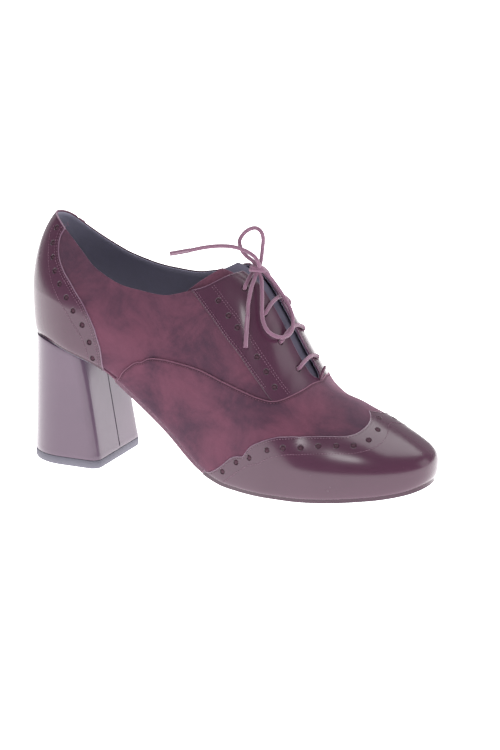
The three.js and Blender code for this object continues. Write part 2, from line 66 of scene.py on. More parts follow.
# collar above the feather edge: station, near, far
collarRows = np.array([
    (0.042, 0.602, 0.602), (0.070, 0.583, 0.569), (0.099, 0.554, 0.526), (0.150, 0.510, 0.474),
    (0.197, 0.468, 0.450), (0.252, 0.471, 0.4745), (0.307, 0.527, 0.542), (0.383, 0.641, 0.669),
    (0.455, 0.826, 0.849), (0.518, 0.975, 0.988), (0.573, 1.036, 1.045)])
# throat: station, half gap
throatRows = np.array([
    (0.556, 0.092), (0.598, 0.080), (0.641, 0.075), (0.674, 0.075), (0.700, 0.071), (0.7125, 0.053),
    (0.721, 0.0)])
collarFront = 0.573
throatFrom = 0.5
# the leather turns down over the outsole's edge: station, millimetres
hemRows = np.array([(0, 1.0), (0.20, 1.05), (0.27, 2.1), (0.34, 2.5), (0.50, 2.35), (0.57, 2.1), (1.0, 2.0)])
hemShare = 0.1  # a runs this far past -1 over the turned edge
# outsole: station, thickness, belly
soleRows = np.array([
    (0.00, 0.5, 0), (0.20, 0.5, 0), (0.30, 0.8, 0), (0.45, 1.0, 0.2), (0.56, 1.0, 1.25),
    (0.65, 1.0, 1.45), (0.80, 1.0, 1.35), (1.00, 1.0, 0.6)])

# depth of each layer's face below the last, and how deep its cut edge goes
layers = {
    "quarters": 0.8, "facing": 0.25, "vamp": -0.05, "counter": 0.15, "cap": -0.5,
    "wall": 1.4, "lining": 2.0, "skirt": 0.9,
}


def along(rows, column, at):
    x, y = rows[:, 0], rows[:, column]
    t = np.clip(at, x[0], x[-1])
    i = np.clip(np.searchsorted(x, t) - 1, 0, len(x) - 2)
    before, after = np.maximum(np.arange(len(x)) - 1, 0), np.minimum(np.arange(len(x)) + 1, len(x) - 1)
    slope = (y[after] - y[before]) / (x[after] - x[before])
    span = x[i + 1] - x[i]
    s = (t - x[i]) / span
    s2, s3 = s * s, s * s * s
    return ((2 * s3 - 3 * s2 + 1) * y[i] + (s3 - 2 * s2 + s) * span * slope[i]
            + (3 * s2 - 2 * s3) * y[i + 1] + (s3 - s2) * span * slope[i + 1])


def planEdge(u, side):
    count = len(planRows) - 1
    near = planRows[:, :2] * (1, -1)
    far = planRows[:, ::2]
    tables = np.stack([np.vstack([far[1], near, far[-2]]), np.vstack([near[1], far, near[-2]])])
    which = (np.asarray(side) > 0).astype(int)
    f = np.clip(u, 0, 1) * count
    i = np.minimum(np.floor(f).astype(int), count - 1)
    t = (f - i)[..., None]
    p0, p1, p2, p3 = (tables[which, i + k] for k in range(4))
    p = 0.5 * (2 * p1 + (p2 - p0) * t + (2 * p0 - 5 * p1 + 4 * p2 - p3) * t ** 2
               + (3 * p1 - p0 - 3 * p2 + p3) * t ** 3)
    return p[..., 0], p[..., 1] * last["ball"]


def ridgeStation(at):
    r = last["poleSoft"]
    low = last["poleHeel"] + r * np.log1p(np.exp((at - last["poleHeel"]) / r))
    return last["poleToe"] - r * np.log1p(np.exp((last["poleToe"] - low) / r))


def featherHeight(at):
    return last["edge"] + along(sectionRows, 1, at) * last["rise"] + along(sectionRows, 2, at) * last["spring"]


def featherSlope(at):
    step = 1e-3
    return (featherHeight(at + step) - featherHeight(at - step)) / (2 * step * last["length"])


def collarHeight(side, at):
    return np.where(side < 0, along(collarRows, 1, at), along(collarRows, 2, at)) * last["instep"]


def lastPoint(u, side, a):
    u, side, a = np.broadcast_arrays(np.asarray(u, float), side, np.asarray(a, float))
    edgeAt, edgeY = planEdge(u, side)
    pole = ridgeStation(edgeAt)
    up = np.clip(a, 0, 1) * np.pi / 2
    down = np.clip(-a, 0, 1)
    under = 1 - along(sectionRows, 5, edgeAt) * down ** 2.2
    reach = np.where(a >= 0, np.cos(up), under)
    for _ in range(3):
        at = pole + (edgeAt - pole) * reach
        bent = np.maximum(np.cos(up), 1e-12) ** (2 / along(sectionRows, 7, at))
        reach = np.where(a >= 1, 0, np.where(a >= 0, bent, under))
    at = pole + (edgeAt - pole) * reach
    widest = along(sectionRows, 3, at) * last["instep"]
    crown = along(sectionRows, 4, at) * last["instep"]
    arch = np.sin(up) ** (2 / along(sectionRows, 6, at))
    height = np.where(a >= 0, widest + (crown - widest) * arch, widest * (1 - np.sin(down * np.pi / 2)))
    narrowed = 1 - along(leanRows, 1, at) * np.sin(up)
    hem = np.clip(-1 - a, 0, hemShare) / hemShare * along(hemRows, 1, at)
    slope = featherSlope(at)
    level = np.sqrt(1 + slope ** 2)
    return np.stack([at * last["length"] + hem * slope / level, edgeY * reach * narrowed,
                     featherHeight(at) + height - hem / level], -1)


def lastNormal(u, side, a):
    u, side, a = np.broadcast_arrays(np.asarray(u, float), side, np.asarray(a, float))
    step = 1e-3
    inner = np.clip(a, -1 + step, 1 - 2 * step)
    alongU = lastPoint(np.minimum(u + step, 1), side, inner) - lastPoint(np.maximum(u - step, 0), side, inner)
    alongA = lastPoint(u, side, inner + step) - lastPoint(u, side, inner - step)
    n = np.cross(alongU, alongA) * -side[..., None]
    n[..., 1] = np.where((u <= 0) | (u >= 1) | (a >= 1), 0, n[..., 1])
    return unit(n)


def unit(v):
    return v / np.maximum(np.linalg.norm(v, axis=-1, keepdims=True), 1e-12)


# length run along the points so far
def wayAlong(p):
    return np.concatenate([[0], np.cumsum(np.linalg.norm(np.diff(p, axis=0), axis=1))])


def bisect(isBelow, low, high):
    for _ in range(34):
        middle = (low + high) / 2
        below = isBelow(middle)
        low, high = np.where(below, middle, low), np.where(below, high, middle)
    return low


# u of the point of the last at plan station x, in millimetres, on the line a
def columnAt(x, side, a):
    x, side, a = np.broadcast_arrays(np.asarray(x, float), side, np.asarray(a, float))
    return bisect(lambda u: lastPoint(u, side, a)[..., 0] < x, np.zeros(x.shape), np.ones(x.shape))


# soft creases of the worn leather: two ends as station and a, side, width and depth
creases = [
    {"ends": ((148, 0.10), (168, 0.62)), "side": -1, "width": 4.5, "depth": 0.55},
    {"ends": ((141, -0.15), (176, 0.30)), "side": -1, "width": 5.0, "depth": 0.45},
    {"ends": ((176, 0.45), (182, 0.95)), "side": -1, "width": 4.5, "depth": 0.45},
    {"ends": ((118, -0.10), (134, 0.36)), "side": -1, "width": 6.0, "depth": 0.55},
    {"ends": ((72, 0.12), (92, 0.36)), "side": -1, "width": 8.0, "depth": 0.60},
    {"ends": ((34, 0.24), (50, 0.10)), "side": -1, "width": 6.0, "depth": 0.45},
    {"ends": ((146, 0.05), (170, 0.70)), "side": 1, "width": 4.5, "depth": 0.55},
    {"ends": ((174, 0.35), (182, 0.90)), "side": 1, "width": 4.5, "depth": 0.45},
    {"ends": ((80, 0.05), (100, 0.38)), "side": 1, "width": 7.0, "depth": 0.60},
]


creaseRidge = {"share": 0.45, "away": 1.9}  # the leather pushed up beside each trough


def creaseEnds():
    for crease in creases:
        crease["path"] = [surfacePoint(x, crease["side"], level)[0] for x, level in crease["ends"]]


def creaseDepth(p):
    depth = np.zeros(len(p))
    for crease in creases:
        a, b = crease["path"]
        t = np.clip((p - a) @ (b - a) / ((b - a) @ (b - a)), 0, 1)
        gap = np.linalg.norm(p - a - t[:, None] * (b - a), axis=1)
        taper = np.sin(np.pi * np.clip(t * 0.9 + 0.05, 0, 1))
        ring = (gap / crease["width"]) ** 2
        ridge = creaseRidge["share"] * np.exp(-((gap / crease["width"] - creaseRidge["away"]) ** 2))
        depth += crease["depth"] * taper * (np.exp(-ring) - ridge)
    return depth


def surfacePoint(x, side, a, depth=0.0):
    u = columnAt(x, side, a)
    normal = lastNormal(u, side, a)
    return lastPoint(u, side, a) - normal * depth, normal


creaseEnds()


def placed(p):
    return (np.asarray(p) + last["place"]) * 0.001


# points in millimetres of the last; faces is a list or an array of corners
def makeMesh(name, points, faces, material, normals=None, uv=None, extra=None):
    mesh = bpy.data.meshes.new(name)
    mesh.from_pydata(placed(points).tolist(), [], [list(map(int, f)) for f in faces])
    mesh.validate()
    mesh.update()
    mesh.shade_smooth()
    if uv is not None:
        corners = np.zeros(len(mesh.loops), np.int32)
        mesh.loops.foreach_get("vertex_index", corners)
        layer = mesh.uv_layers.new(name="Pattern")
        layer.data.foreach_set("uv", np.asarray(uv, np.float32)[corners].ravel())
    for key, values in (extra or {}).items():
        mesh.attributes.new(key, "FLOAT", "POINT").data.foreach_set("value", np.asarray(values, np.float32))
    if normals is not None:
        mesh.normals_split_custom_set_from_vertices(unit(normals).tolist())
    piece = bpy.data.objects.new(name, mesh)
    bpy.context.scene.collection.objects.link(piece)
    mesh.materials.append(material)
    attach(piece, "root")
    return piece


# columns an even way apart along the widest line
def evenColumns(count, low=0.0, high=1.0):
    u = np.linspace(low, high, 2001)
    p = lastPoint(u, -1, 0.0)
    way = wayAlong(p)
    return np.interp(np.linspace(0, way[-1], count + 1), way, u)


def withoutFlat(faces):
    return faces[(faces[:, 0] != faces[:, 1]) & (faces[:, 1] != faces[:, 2]) & (faces[:, 2] != faces[:, 0])]


# triangles over both sides of the last, joined on the ridge, the heel line and the toe line
def lastGrid(uList, aList):
    rows, columns = len(aList), len(uList)
    points, normals, sides, levels, faces = [], [], [], [], []
    for side in (-1, 1):
        u, a = np.meshgrid(uList, aList, indexing="ij")
        points.append(lastPoint(u, side, a).reshape(-1, 3))
        normals.append(lastNormal(u, side, a).reshape(-1, 3))
        sides.append(np.full(u.size, side))
        levels.append(a.ravel())
        i, j = np.meshgrid(np.arange(columns - 1), np.arange(rows - 1), indexing="ij")
        k = (i * rows + j).ravel() + (side > 0) * columns * rows
        quads = np.stack([k, k + rows, k + rows + 1, k + 1], 1)
        if side > 0:
            quads = quads[:, ::-1]
        faces.append(quads[:, [0, 1, 2]])
        faces.append(quads[:, [0, 2, 3]])
    points, normals, sides, levels, faces = map(np.concatenate, (points, normals, sides, levels, faces))
    keys, first, back = np.unique(np.round(points, 3), axis=0, return_index=True, return_inverse=True)
    back = back.ravel()
    summed = np.zeros((len(keys), 3))
    np.add.at(summed, back, normals)
    faces = withoutFlat(back[faces])
    return {"points": points[first], "normals": unit(summed), "side": sides[first], "a": levels[first],
            "faces": faces}


# evenly stepped smooth curve through the points
def smoothPath(points, step):
    p = np.asarray(points, float)
    q = np.vstack([2 * p[:1] - p[1:2], p, 2 * p[-1:] - p[-2:-1]])
    count = len(q) - 3
    t = np.linspace(0, 1, 24, endpoint=False)[:, None]
    fine = []
    for i in range(count):
        p0, p1, p2, p3 = q[i:i + 4]
        knots = np.cumsum([0] + [max(np.linalg.norm(b - a) ** 0.5, 1e-6) for a, b in ((p0, p1), (p1, p2), (p2, p3))])
        s = knots[1] + t * (knots[2] - knots[1])

        def between(i, j, first, second):
            span = knots[j] - knots[i]
            return (knots[j] - s) / span * first + (s - knots[i]) / span * second

        near, middle, far = between(0, 1, p0, p1), between(1, 2, p1, p2), between(2, 3, p2, p3)
        fine.append(between(1, 2, between(0, 2, near, middle), between(1, 3, middle, far)))
    fine = np.vstack(fine + [q[-2:-1]])
    way = wayAlong(fine)
    evenly = np.linspace(0, way[-1], max(int(round(way[-1] / step)), 2) + 1)
    return np.column_stack([np.interp(evenly, way, fine[:, k]) for k in range(3)])


def insideOutline(outline, x, y):
    inside = np.zeros(len(x), bool)
    for (x0, y0), (x1, y1) in zip(outline, np.roll(outline, -1, axis=0)):
        crossing = (y0 > y) != (y1 > y)
        if y1 != y0:
            inside ^= crossing & (x < (x1 - x0) * (y - y0) / (y1 - y0) + x0)
    return inside


# distance to a path, and the unit way from each point to it
def nearestOnPath(p, path):
    best = np.full(len(p), 1e9)
    way = np.zeros_like(p)
    start, run = path[:-1], path[1:] - path[:-1]
    size = (run ** 2).sum(1)
    for k in range(0, len(p), 3000):
        part = p[k:k + 3000, None]
        t = np.clip(((part - start) * run).sum(2) / size, 0, 1)
        gap = start + t[..., None] * run - part
        d = np.linalg.norm(gap, axis=2)
        i = d.argmin(1)
        best[k:k + 3000] = d[np.arange(len(i)), i]
        way[k:k + 3000] = gap[np.arange(len(i)), i]
    return best, unit(way)


# signed distance inside a panel, and the way out of it over the nearest edge
def panelField(grid, edges, outlines, holes, holeRadius):
    p = grid["points"]
    x = p[:, 0]
    inside = np.zeros(len(p), bool)
    for side, outline in outlines.items():
        # points on the shared lines belong to both sides
        mine = (grid["side"] == side) | (np.abs(grid["a"] - 1) < 1e-9)
        inside[mine] |= insideOutline(outline, x[mine], grid["a"][mine])
    field = np.full(len(p), 1e9)
    out = np.zeros_like(p)
    for path in edges:
        d, way = nearestOnPath(p, path)
        nearer = d < field
        field[nearer], out[nearer] = d[nearer], way[nearer]
    out = np.where(inside[:, None], out, -out)
    field = np.where(inside, field, -field)
    grid["seam"] = field.copy()
    for hole in holes:
        gap = hole - p
        d = np.linalg.norm(gap, axis=1) - holeRadius
        nearer = d < field
        field[nearer], out[nearer] = d[nearer], unit(gap)[nearer]
    return field, out


# cuts the triangles along field = level; the field is the last column of data
def splitAt(data, faces, level):
    f = data[:, -1] - level
    f[np.abs(f) < 0.02] = 0.0
    above = f >= 0
    count = above[faces].sum(1)
    crossed = (count == 1) | (count == 2)
    whole, cut = faces[~crossed], faces[crossed]
    lone = np.where(count[crossed][:, None] == 1, above[cut], ~above[cut])
    first = lone.argmax(1)
    rows = np.arange(len(cut))
    a, b, c = (cut[rows, (first + k) % 3] for k in range(3))
    pairs = np.sort(np.vstack([np.column_stack([a, b]), np.column_stack([a, c])]), axis=1)
    unique, back = np.unique(pairs, axis=0, return_inverse=True)
    f0, f1 = f[unique[:, 0]], f[unique[:, 1]]
    t = np.where(f0 == f1, 0.5, f0 / np.where(f0 == f1, 1, f0 - f1))[:, None]
    middle = data[unique[:, 0]] * (1 - t) + data[unique[:, 1]] * t
    middle[:, -1] = level
    corner = np.where(f0 == 0, unique[:, 0], np.where(f1 == 0, unique[:, 1], np.arange(len(unique)) + len(data)))
    back = corner[back.ravel()]
    ab, ac = back[:len(cut)], back[len(cut):]
    data = np.vstack([data, middle])
    faces = np.vstack([whole] + [np.column_stack(three) for three in ((a, ab, ac), (ab, b, c), (ab, c, ac))])
    return data, withoutFlat(faces)


# the cut edge's rounding: way in from the cut, share of the thickness, and how far its shading turns
edgeProfile = {"thick": 0.6, "turn": 1.2, "reach": (0.0, 0.16, 0.42), "height": (0.50, 0.86, 1.0),
               "lean": (1.0, 0.62, 0.0)}


# a leather panel cut out of the last's grid, with a rounded cut edge and closed underneath
def trimmedPanel(name, grid, field, out, depth, material, skirt=None):
    skirt = skirt or layers["skirt"]
    data = np.column_stack([grid["points"], grid["normals"], out, grid["seam"], field])
    faces = grid["faces"]
    faces = faces[data[faces, -1].max(1) > 0]
    for level in edgeProfile["reach"]:
        data, faces = splitAt(data, faces, level)
    faces = faces[data[faces, -1].mean(1) > 0]
    used, back = np.unique(faces, return_inverse=True)
    data, faces = data[used], back.reshape(-1, 3)
    p, n, away, f = data[:, :3], unit(data[:, 3:6]), unit(data[:, 6:9]), data[:, -1]
    away = unit(away - n * (away * n).sum(1)[:, None])
    height = np.interp(f, edgeProfile["reach"], edgeProfile["height"])
    lean = np.interp(f, edgeProfile["reach"], edgeProfile["lean"])[:, None]
    sunk = creaseDepth(p) + depth + edgeProfile["thick"] * (1 - height)
    top = p - n * sunk[:, None]
    bottom = p - n * (creaseDepth(p) + depth + skirt)[:, None]
    edges = np.sort(faces[:, [0, 1, 1, 2, 2, 0]].reshape(-1, 2), axis=1)
    oriented = faces[:, [0, 1, 1, 2, 2, 0]].reshape(-1, 2)
    _, first, times = np.unique(edges, axis=0, return_index=True, return_counts=True)
    rim = oriented[first[times == 1]]
    count = len(p)
    # the skirt has corners of its own, so that its shading turns at the cut
    ring, place = np.unique(rim, return_inverse=True)
    place = place.reshape(-1, 2) + 2 * count
    walls = np.vstack([np.column_stack([place[:, 1], place[:, 0], place[:, 0] + len(ring)]),
                       np.column_stack([place[:, 1], place[:, 0] + len(ring), place[:, 1] + len(ring)])])
    points = np.vstack([top, bottom, top[ring], bottom[ring]])
    normals = np.vstack([unit(n + away * lean * edgeProfile["turn"]), -n, away[ring], away[ring]])
    seam = np.maximum(data[:, 9], f)
    extra = {"edge": np.concatenate([seam, seam, seam[ring], seam[ring]]),
             "cut": np.concatenate([f, f, f[ring], f[ring]])}
    return makeMesh(name, points, np.vstack([faces, faces[:, ::-1] + count, walls]), material, normals,
                    extra=extra)


# the highest a that is still leather, below the collar and outside the throat
def openingLevel(u, side):
    side = np.broadcast_to(side, u.shape)

    def isLeather(a):
        p = lastPoint(u, side, a)
        at = p[..., 0] / last["length"]
        above = (at < collarFront) & (p[..., 2] > featherHeight(at) + collarHeight(side, at))
        gap = along(throatRows, 1, at) * last["ball"]
        inThroat = (at > throatFrom) & (at < throatRows[-1, 0]) & (np.abs(p[..., 1]) < gap)
        return ~(above | inThroat)

    steps = 300  # coarse levels, then halved as finely as needed
    kept = np.array([isLeather(np.full(u.shape, k / steps)) for k in range(steps + 1)])
    kept = np.cumprod(kept, axis=0).sum(0)
    whole = kept > steps
    low, high = np.maximum(kept - 1, 0) / steps, np.minimum(kept, steps) / steps
    for _ in range(20):
        middle = (low + high) / 2
        good = isLeather(middle)
        low, high = np.where(good, middle, low), np.where(good, high, middle)
    return np.where(whole, 1.0, low)


def loopColumns(uList):
    u = np.concatenate([uList, uList[-2:0:-1]])
    side = np.concatenate([np.full(len(uList), -1), np.full(len(uList) - 2, 1)])
    return u, side


def ringFaces(rings, columns):
    i, j = np.meshgrid(np.arange(rings - 1), np.arange(columns), indexing="ij")
    k, n = (i * columns + j).ravel(), (i * columns + (j + 1) % columns).ravel()
    return np.stack([k, n, n + columns, k + columns], 1)


# one layer of the upper's wall: outside face, turned rim and inside, closed at the feather
def wallShell(name, face, back, rim, material, uList, rows, inset=0.0, depthBelow=False):
    u, side = loopColumns(uList)
    level = openingLevel(u, side)
    footAt = throatRows[-1, 0] * last["length"]
    ridge = lastPoint(u, side, 1.0)[:, 0]
    level = np.where(ridge >= footAt - 0.01, 1.0, level)
    rings = []
    shares = np.linspace(0, 1, rows + 1)

    def ring(a, depth, lift=0.0):
        n = lastNormal(u, side, a)
        p = lastPoint(u, side, a)
        up = unit(lastPoint(u, side, np.minimum(a, 1 - 1e-3) + 1e-3) - lastPoint(u, side, np.minimum(a, 1 - 1e-3)))
        closes = (level >= 1.0)[:, None]
        lifted = np.where(closes, 0, lift)
        p = p - n * (depth + creaseDepth(p)[:, None]) + up * lifted
        rings.append(p)

    top = level - inset
    if depthBelow:
        ring(np.full(u.shape, -1 - hemShare), face)
        ring(np.full(u.shape, -1 - hemShare / 2), face)
    for share in shares:
        ring(-1 + (top + 1) * share, face)
    for depth, lift in rim:
        ring(top, depth, lift)
    for share in shares[::-1]:
        ring(-1 + (top + 1) * share, back)
    points = np.vstack(rings)
    faces = ringFaces(len(rings), len(u))
    lastRing = (len(rings) - 1) * len(u)
    k = np.arange(len(u))
    n = (k + 1) % len(u)
    closing = np.stack([k + lastRing, n + lastRing, n, k], 1)
    return makeMesh(name, points, merged(points, np.vstack([faces, closing])), material)


# faces on the first of the corners that coincide, without the flat ones
def merged(points, faces):
    _, first, back = np.unique(np.round(points, 3), axis=0, return_index=True, return_inverse=True)
    faces = first[back.ravel()][np.asarray(faces)]
    out = []
    for face in faces:
        corners = [c for k, c in enumerate(face) if c != face[k - 1]]
        if len(set(corners)) > 2:
            out.append(corners)
    return out


def plateRings(uList, shares, reachOf, heightOf):
    u, side = loopColumns(uList)
    edgeAt, edgeY = planEdge(u, side)
    pole = ridgeStation(edgeAt)
    rings = []
    for share in shares:
        reach = reachOf(edgeAt, edgeY, pole) * share
        at = pole + (edgeAt - pole) * reach
        rings.append((at, edgeY * reach, share))
    return [heightOf(*ring) for ring in rings], len(u)


def underLast(at, y, depth):
    slope = featherSlope(at)
    normal = unit(np.stack([-slope, np.zeros_like(slope), np.ones_like(slope)], -1))
    return np.stack([at * last["length"], y, featherHeight(at)], -1) - normal * np.reshape(depth, (-1, 1))


sole = {"thickness": 2.5, "belly": 1.9, "fit": 0.3, "round": 0.45, "insole": 2.3, "inset": 1.0}
# how far the outsole's edge stands in under the turned leather: station, millimetres
soleInset = np.array([(0, 0.35), (0.18, 0.45), (0.24, 1.4), (0.30, 1.9), (0.50, 1.9), (0.60, 0.45), (1.0, 0.35)])


def soleDepth(at):
    return sole["fit"] + along(soleRows, 1, at) * sole["thickness"]


def makeOutsole(material):
    uList = evenColumns(150)

    def reachOf(at, y, pole):
        feather = 1 - along(sectionRows, 5, at)
        span = np.hypot((at - pole) * last["length"], y) * feather
        return feather * (1 - along(soleInset, 1, at) / span)

    def below(at, y, share):
        belly = along(soleRows, 2, at) * sole["belly"] * (1 - share * share)
        p = underLast(at, y, soleDepth(at) + belly)
        p[:, 2] = np.maximum(p[:, 2], 0)
        return p

    shares = [0, 0.2, 0.4, 0.6, 0.8, 0.92, 0.985]
    bottom, count = plateRings(uList, shares, reachOf, below)
    edge, _ = plateRings(uList, [1.0], reachOf, lambda at, y, s: underLast(at, y, soleDepth(at) - sole["round"]))
    top, _ = plateRings(uList, [1.0, 0.985, 0.8, 0.5, 0], reachOf, lambda at, y, s: underLast(at, y, sole["fit"]))
    rings = bottom + edge + top
    points = np.vstack(rings)
    faces = ringFaces(len(rings), count)[:, ::-1]
    piece = makeMesh("outsole_leather", points, merged(points, faces), material)
    faceOut(piece)
    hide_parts("outsole")


# turns a closed piece's faces outwards and shades it smooth up to an angle
def faceOut(piece, angle=40):
    bpy.ops.object.select_all(action="DESELECT")
    bpy.context.view_layer.objects.active = piece
    piece.select_set(True)
    bpy.ops.object.mode_set(mode="EDIT")
    bpy.ops.mesh.select_all(action="SELECT")
    bpy.ops.mesh.remove_doubles(threshold=1e-6)
    bpy.ops.mesh.normals_make_consistent(inside=False)
    bpy.ops.object.mode_set(mode="OBJECT")
    bpy.ops.object.shade_smooth_by_angle(angle=math.radians(angle))
    piece.select_set(False)


def makeInsole(material):
    uList = evenColumns(120)

    def reachOf(at, y, pole):
        feather = 1 - along(sectionRows, 5, at)
        span = np.hypot((at - pole) * last["length"], y) * feather
        return feather * (1 - sole["inset"] / span)

    def up(height):
        return lambda at, y, s: underLast(at, y, np.full(at.shape, -height))

    shares = [0, 0.3, 0.6, 0.85, 0.97]
    top, count = plateRings(uList, shares, reachOf, up(sole["insole"]))
    edge = [plateRings(uList, [1.0], reachOf, up(h))[0][0] for h in (sole["insole"] - 0.4, 0.1)]
    bottom, _ = plateRings(uList, shares[::-1], reachOf, up(0.02))
    rings = top + edge + bottom
    points = np.vstack(rings)
    piece = makeMesh("sock_lining", points, merged(points, ringFaces(len(rings), count)), material)
    faceOut(piece)
    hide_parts("insole")


heel = {
    "base": {"back": -1, "breast": 48, "width": 53, "corner": 5},
    "seat": {"back": 1.8, "breast": 38.5, "width": 54, "corner": 5},
    "round": 0.7, "power": 0.92, "waist": 0.03, "topPiece": 4.4, "close": 0.25, "levels": 24, "grow": 25, "spine": 8,
    "backSteps": 44, "sideSteps": 8, "cornerSteps": 7, "breastSteps": 12,
}


# plan of the heel from the near side round the back to the far side and across the breast
def heelRing(plan):
    half = plan["width"] / 2
    back, breast, corner = plan["back"], plan["breast"], plan["corner"]
    centre = back + min(half, heel["round"] * (breast - back))
    points = []
    for i in range(heel["backSteps"] + 1):
        angle = -math.pi / 2 + math.pi * i / heel["backSteps"]
        c = max(math.cos(angle), 0)
        points.append((centre - (centre - back) * c ** heel["power"], half * math.sin(angle)))
    front = breast - corner
    for i in range(1, heel["sideSteps"] + 1):
        points.append((centre + (front - centre) * i / heel["sideSteps"], half))
    for i in range(1, heel["cornerSteps"] + 1):
        angle = math.pi / 2 * (1 - i / heel["cornerSteps"])
        points.append((front + corner * math.cos(angle), half - corner + corner * math.sin(angle)))
    flat = half - corner
    for i in range(1, heel["breastSteps"] + 1):
        points.append((breast, flat - 2 * flat * i / heel["breastSteps"]))
    for i in range(1, heel["cornerSteps"] + 1):
        angle = -math.pi / 2 * i / heel["cornerSteps"]
        points.append((front + corner * math.cos(angle), -half + corner + corner * math.sin(angle)))
    for i in range(1, heel["sideSteps"]):
        points.append((front - (front - centre) * i / heel["sideSteps"], -half))
    return np.array(points)


def seatHeight(x):
    at = x / last["length"]
    slope = featherSlope(at)
    return featherHeight(at) - (soleDepth(at) + sole["fit"]) * np.sqrt(1 + slope ** 2)


def deselect():
    if bpy.context.object and bpy.context.object.mode != "OBJECT":
        bpy.ops.object.mode_set(mode="OBJECT")
    bpy.ops.object.select_all(action="DESELECT")


# an operator-made piece: normals out, smooth up to an angle, riding on the shoe
def finishPiece(piece, material, angle=40):
    piece.data.materials.clear()
    piece.data.materials.append(material)
    faceOut(piece, angle)
    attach(piece, "root")


# a circle is added and extruded from ring to ring, and both ends are filled
def ringTower(name, rings, material, angle=40):
    deselect()
    count = len(rings[0])
    bpy.ops.mesh.primitive_circle_add(vertices=count, radius=0.02, fill_type="NOTHING")
    piece = bpy.context.object
    piece.name = piece.data.name = name
    for vertex, place in zip(piece.data.vertices, placed(rings[0])):
        vertex.co = place
    bpy.ops.object.mode_set(mode="EDIT")
    bpy.ops.mesh.select_all(action="SELECT")
    bpy.ops.mesh.edge_face_add()
    bpy.ops.mesh.select_all(action="SELECT")
    for ring in rings[1:]:
        bpy.ops.mesh.extrude_region_move(TRANSFORM_OT_translate={"value": (0, 0, 0.001)})
    bpy.ops.object.mode_set(mode="OBJECT")
    # each extrusion keeps the order of the ring before it
    coordinates = np.vstack([placed(ring) for ring in rings]).astype(np.float32)
    piece.data.vertices.foreach_set("co", coordinates.ravel())
    piece.data.update()
    finishPiece(piece, material, angle)
    return piece


def makeHeel(material, seamMaterial):
    base, seat = heelRing(heel["base"]), heelRing(heel["seat"])
    floor = heel["topPiece"] + sole["fit"]
    top = seatHeight(seat[:, 0]) + heel["close"]

    def ringAt(t, grow=0.0, lift=0.0):
        waist = 1 - heel["waist"] * math.sin(math.pi * t)
        x = base[:, 0] + (seat[:, 0] - base[:, 0]) * t
        y = (base[:, 1] + (seat[:, 1] - base[:, 1]) * t) * waist
        centre = np.array([x.mean(), 0])
        p = np.column_stack([x, y])
        p = centre + (p - centre) * (1 + grow / heel["grow"])
        return np.column_stack([p, floor + (top - floor) * t + lift])

    rounding = ((-0.7, 0.0), (-0.15, 0.2), (0.0, 0.7))  # in from the edge, up from the end
    rings = [ringAt(0, grow, lift) for grow, lift in rounding]
    rings += [ringAt(level / heel["levels"]) for level in range(1, heel["levels"])]
    rings += [ringAt(1, grow, -lift) for grow, lift in rounding[::-1]]
    spine = np.clip(seat[:, 0], heel["seat"]["back"] + heel["spine"], heel["seat"]["breast"] - heel["spine"])
    for share in (0.8, 0.5, 0.2):
        x = spine + (seat[:, 0] - spine) * share
        rings.append(np.column_stack([x, seat[:, 1] * share, seatHeight(x) + heel["close"]]))
    piece = ringTower("heel_wrap", rings, material, 50)
    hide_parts("heel")
    # the wrap's ends meet in a seam up the middle of the breast
    ends = [floor, seatHeight(np.array([heel["seat"]["breast"]]))[0]]
    profile = np.array([(-0.6, -0.38), (0.02, -0.36), (0.10, 0), (0.02, 0.36), (-0.6, 0.38)])
    lap = []
    for t in np.linspace(0.02, 0.97, 30):
        middle = np.array([ringAt(t)[:, 0].max() + 0.05, 0.4])
        lap.append(np.column_stack([middle + profile, np.full(len(profile), np.interp(t, [0, 1], ends))]))
    ringTower("heel_breast_seam", lap, seamMaterial, 35)


def makeTopPiece(material):
    base = heelRing(heel["base"])
    centre = base.mean(0)

    def ring(grow, z):
        return np.column_stack([centre + (base - centre) * (1 + grow / heel["grow"]), np.full(len(base), z)])

    high = heel["topPiece"]
    rings = [ring(-0.9, 0.0), ring(-0.25, 0.12), ring(0.0, 0.55), ring(0.0, high), ring(-0.15, high + 0.2),
             ring(-0.8, high + 0.27)]
    piece = ringTower("heel_top_lift", rings, material, 45)
    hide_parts("heel_top_piece")


tongue = {"foot": 0.755, "tip": 0.514, "drop": 0.085, "depth": 3.1, "thickness": 2.0, "long": 60, "across": 48,
          "ear": (-1.0, -0.46)}
tongueRows = np.array([(0.43, 0.270), (0.53, 0.258), (0.64, 0.240), (0.76, 0.190)])


# points of the last over a ridge station and across at y, sunk by a depth
def onInstep(at, y, depth):
    at, y = np.broadcast_arrays(np.asarray(at, float), np.asarray(y, float))
    side = np.where(y < 0, -1, 1)
    u = bisect(lambda u: ridgeStation(planEdge(u, side)[0]) < at, np.zeros(at.shape), np.ones(at.shape))
    a = bisect(lambda a: np.abs(lastPoint(u, side, a)[..., 1]) > np.abs(y), np.zeros(at.shape), np.ones(at.shape))
    n = lastNormal(u, side, a)
    n[..., 1] = np.where(np.abs(y) < 1e-6, 0, n[..., 1])
    return lastPoint(u, side, a) - unit(n) * depth, unit(n)


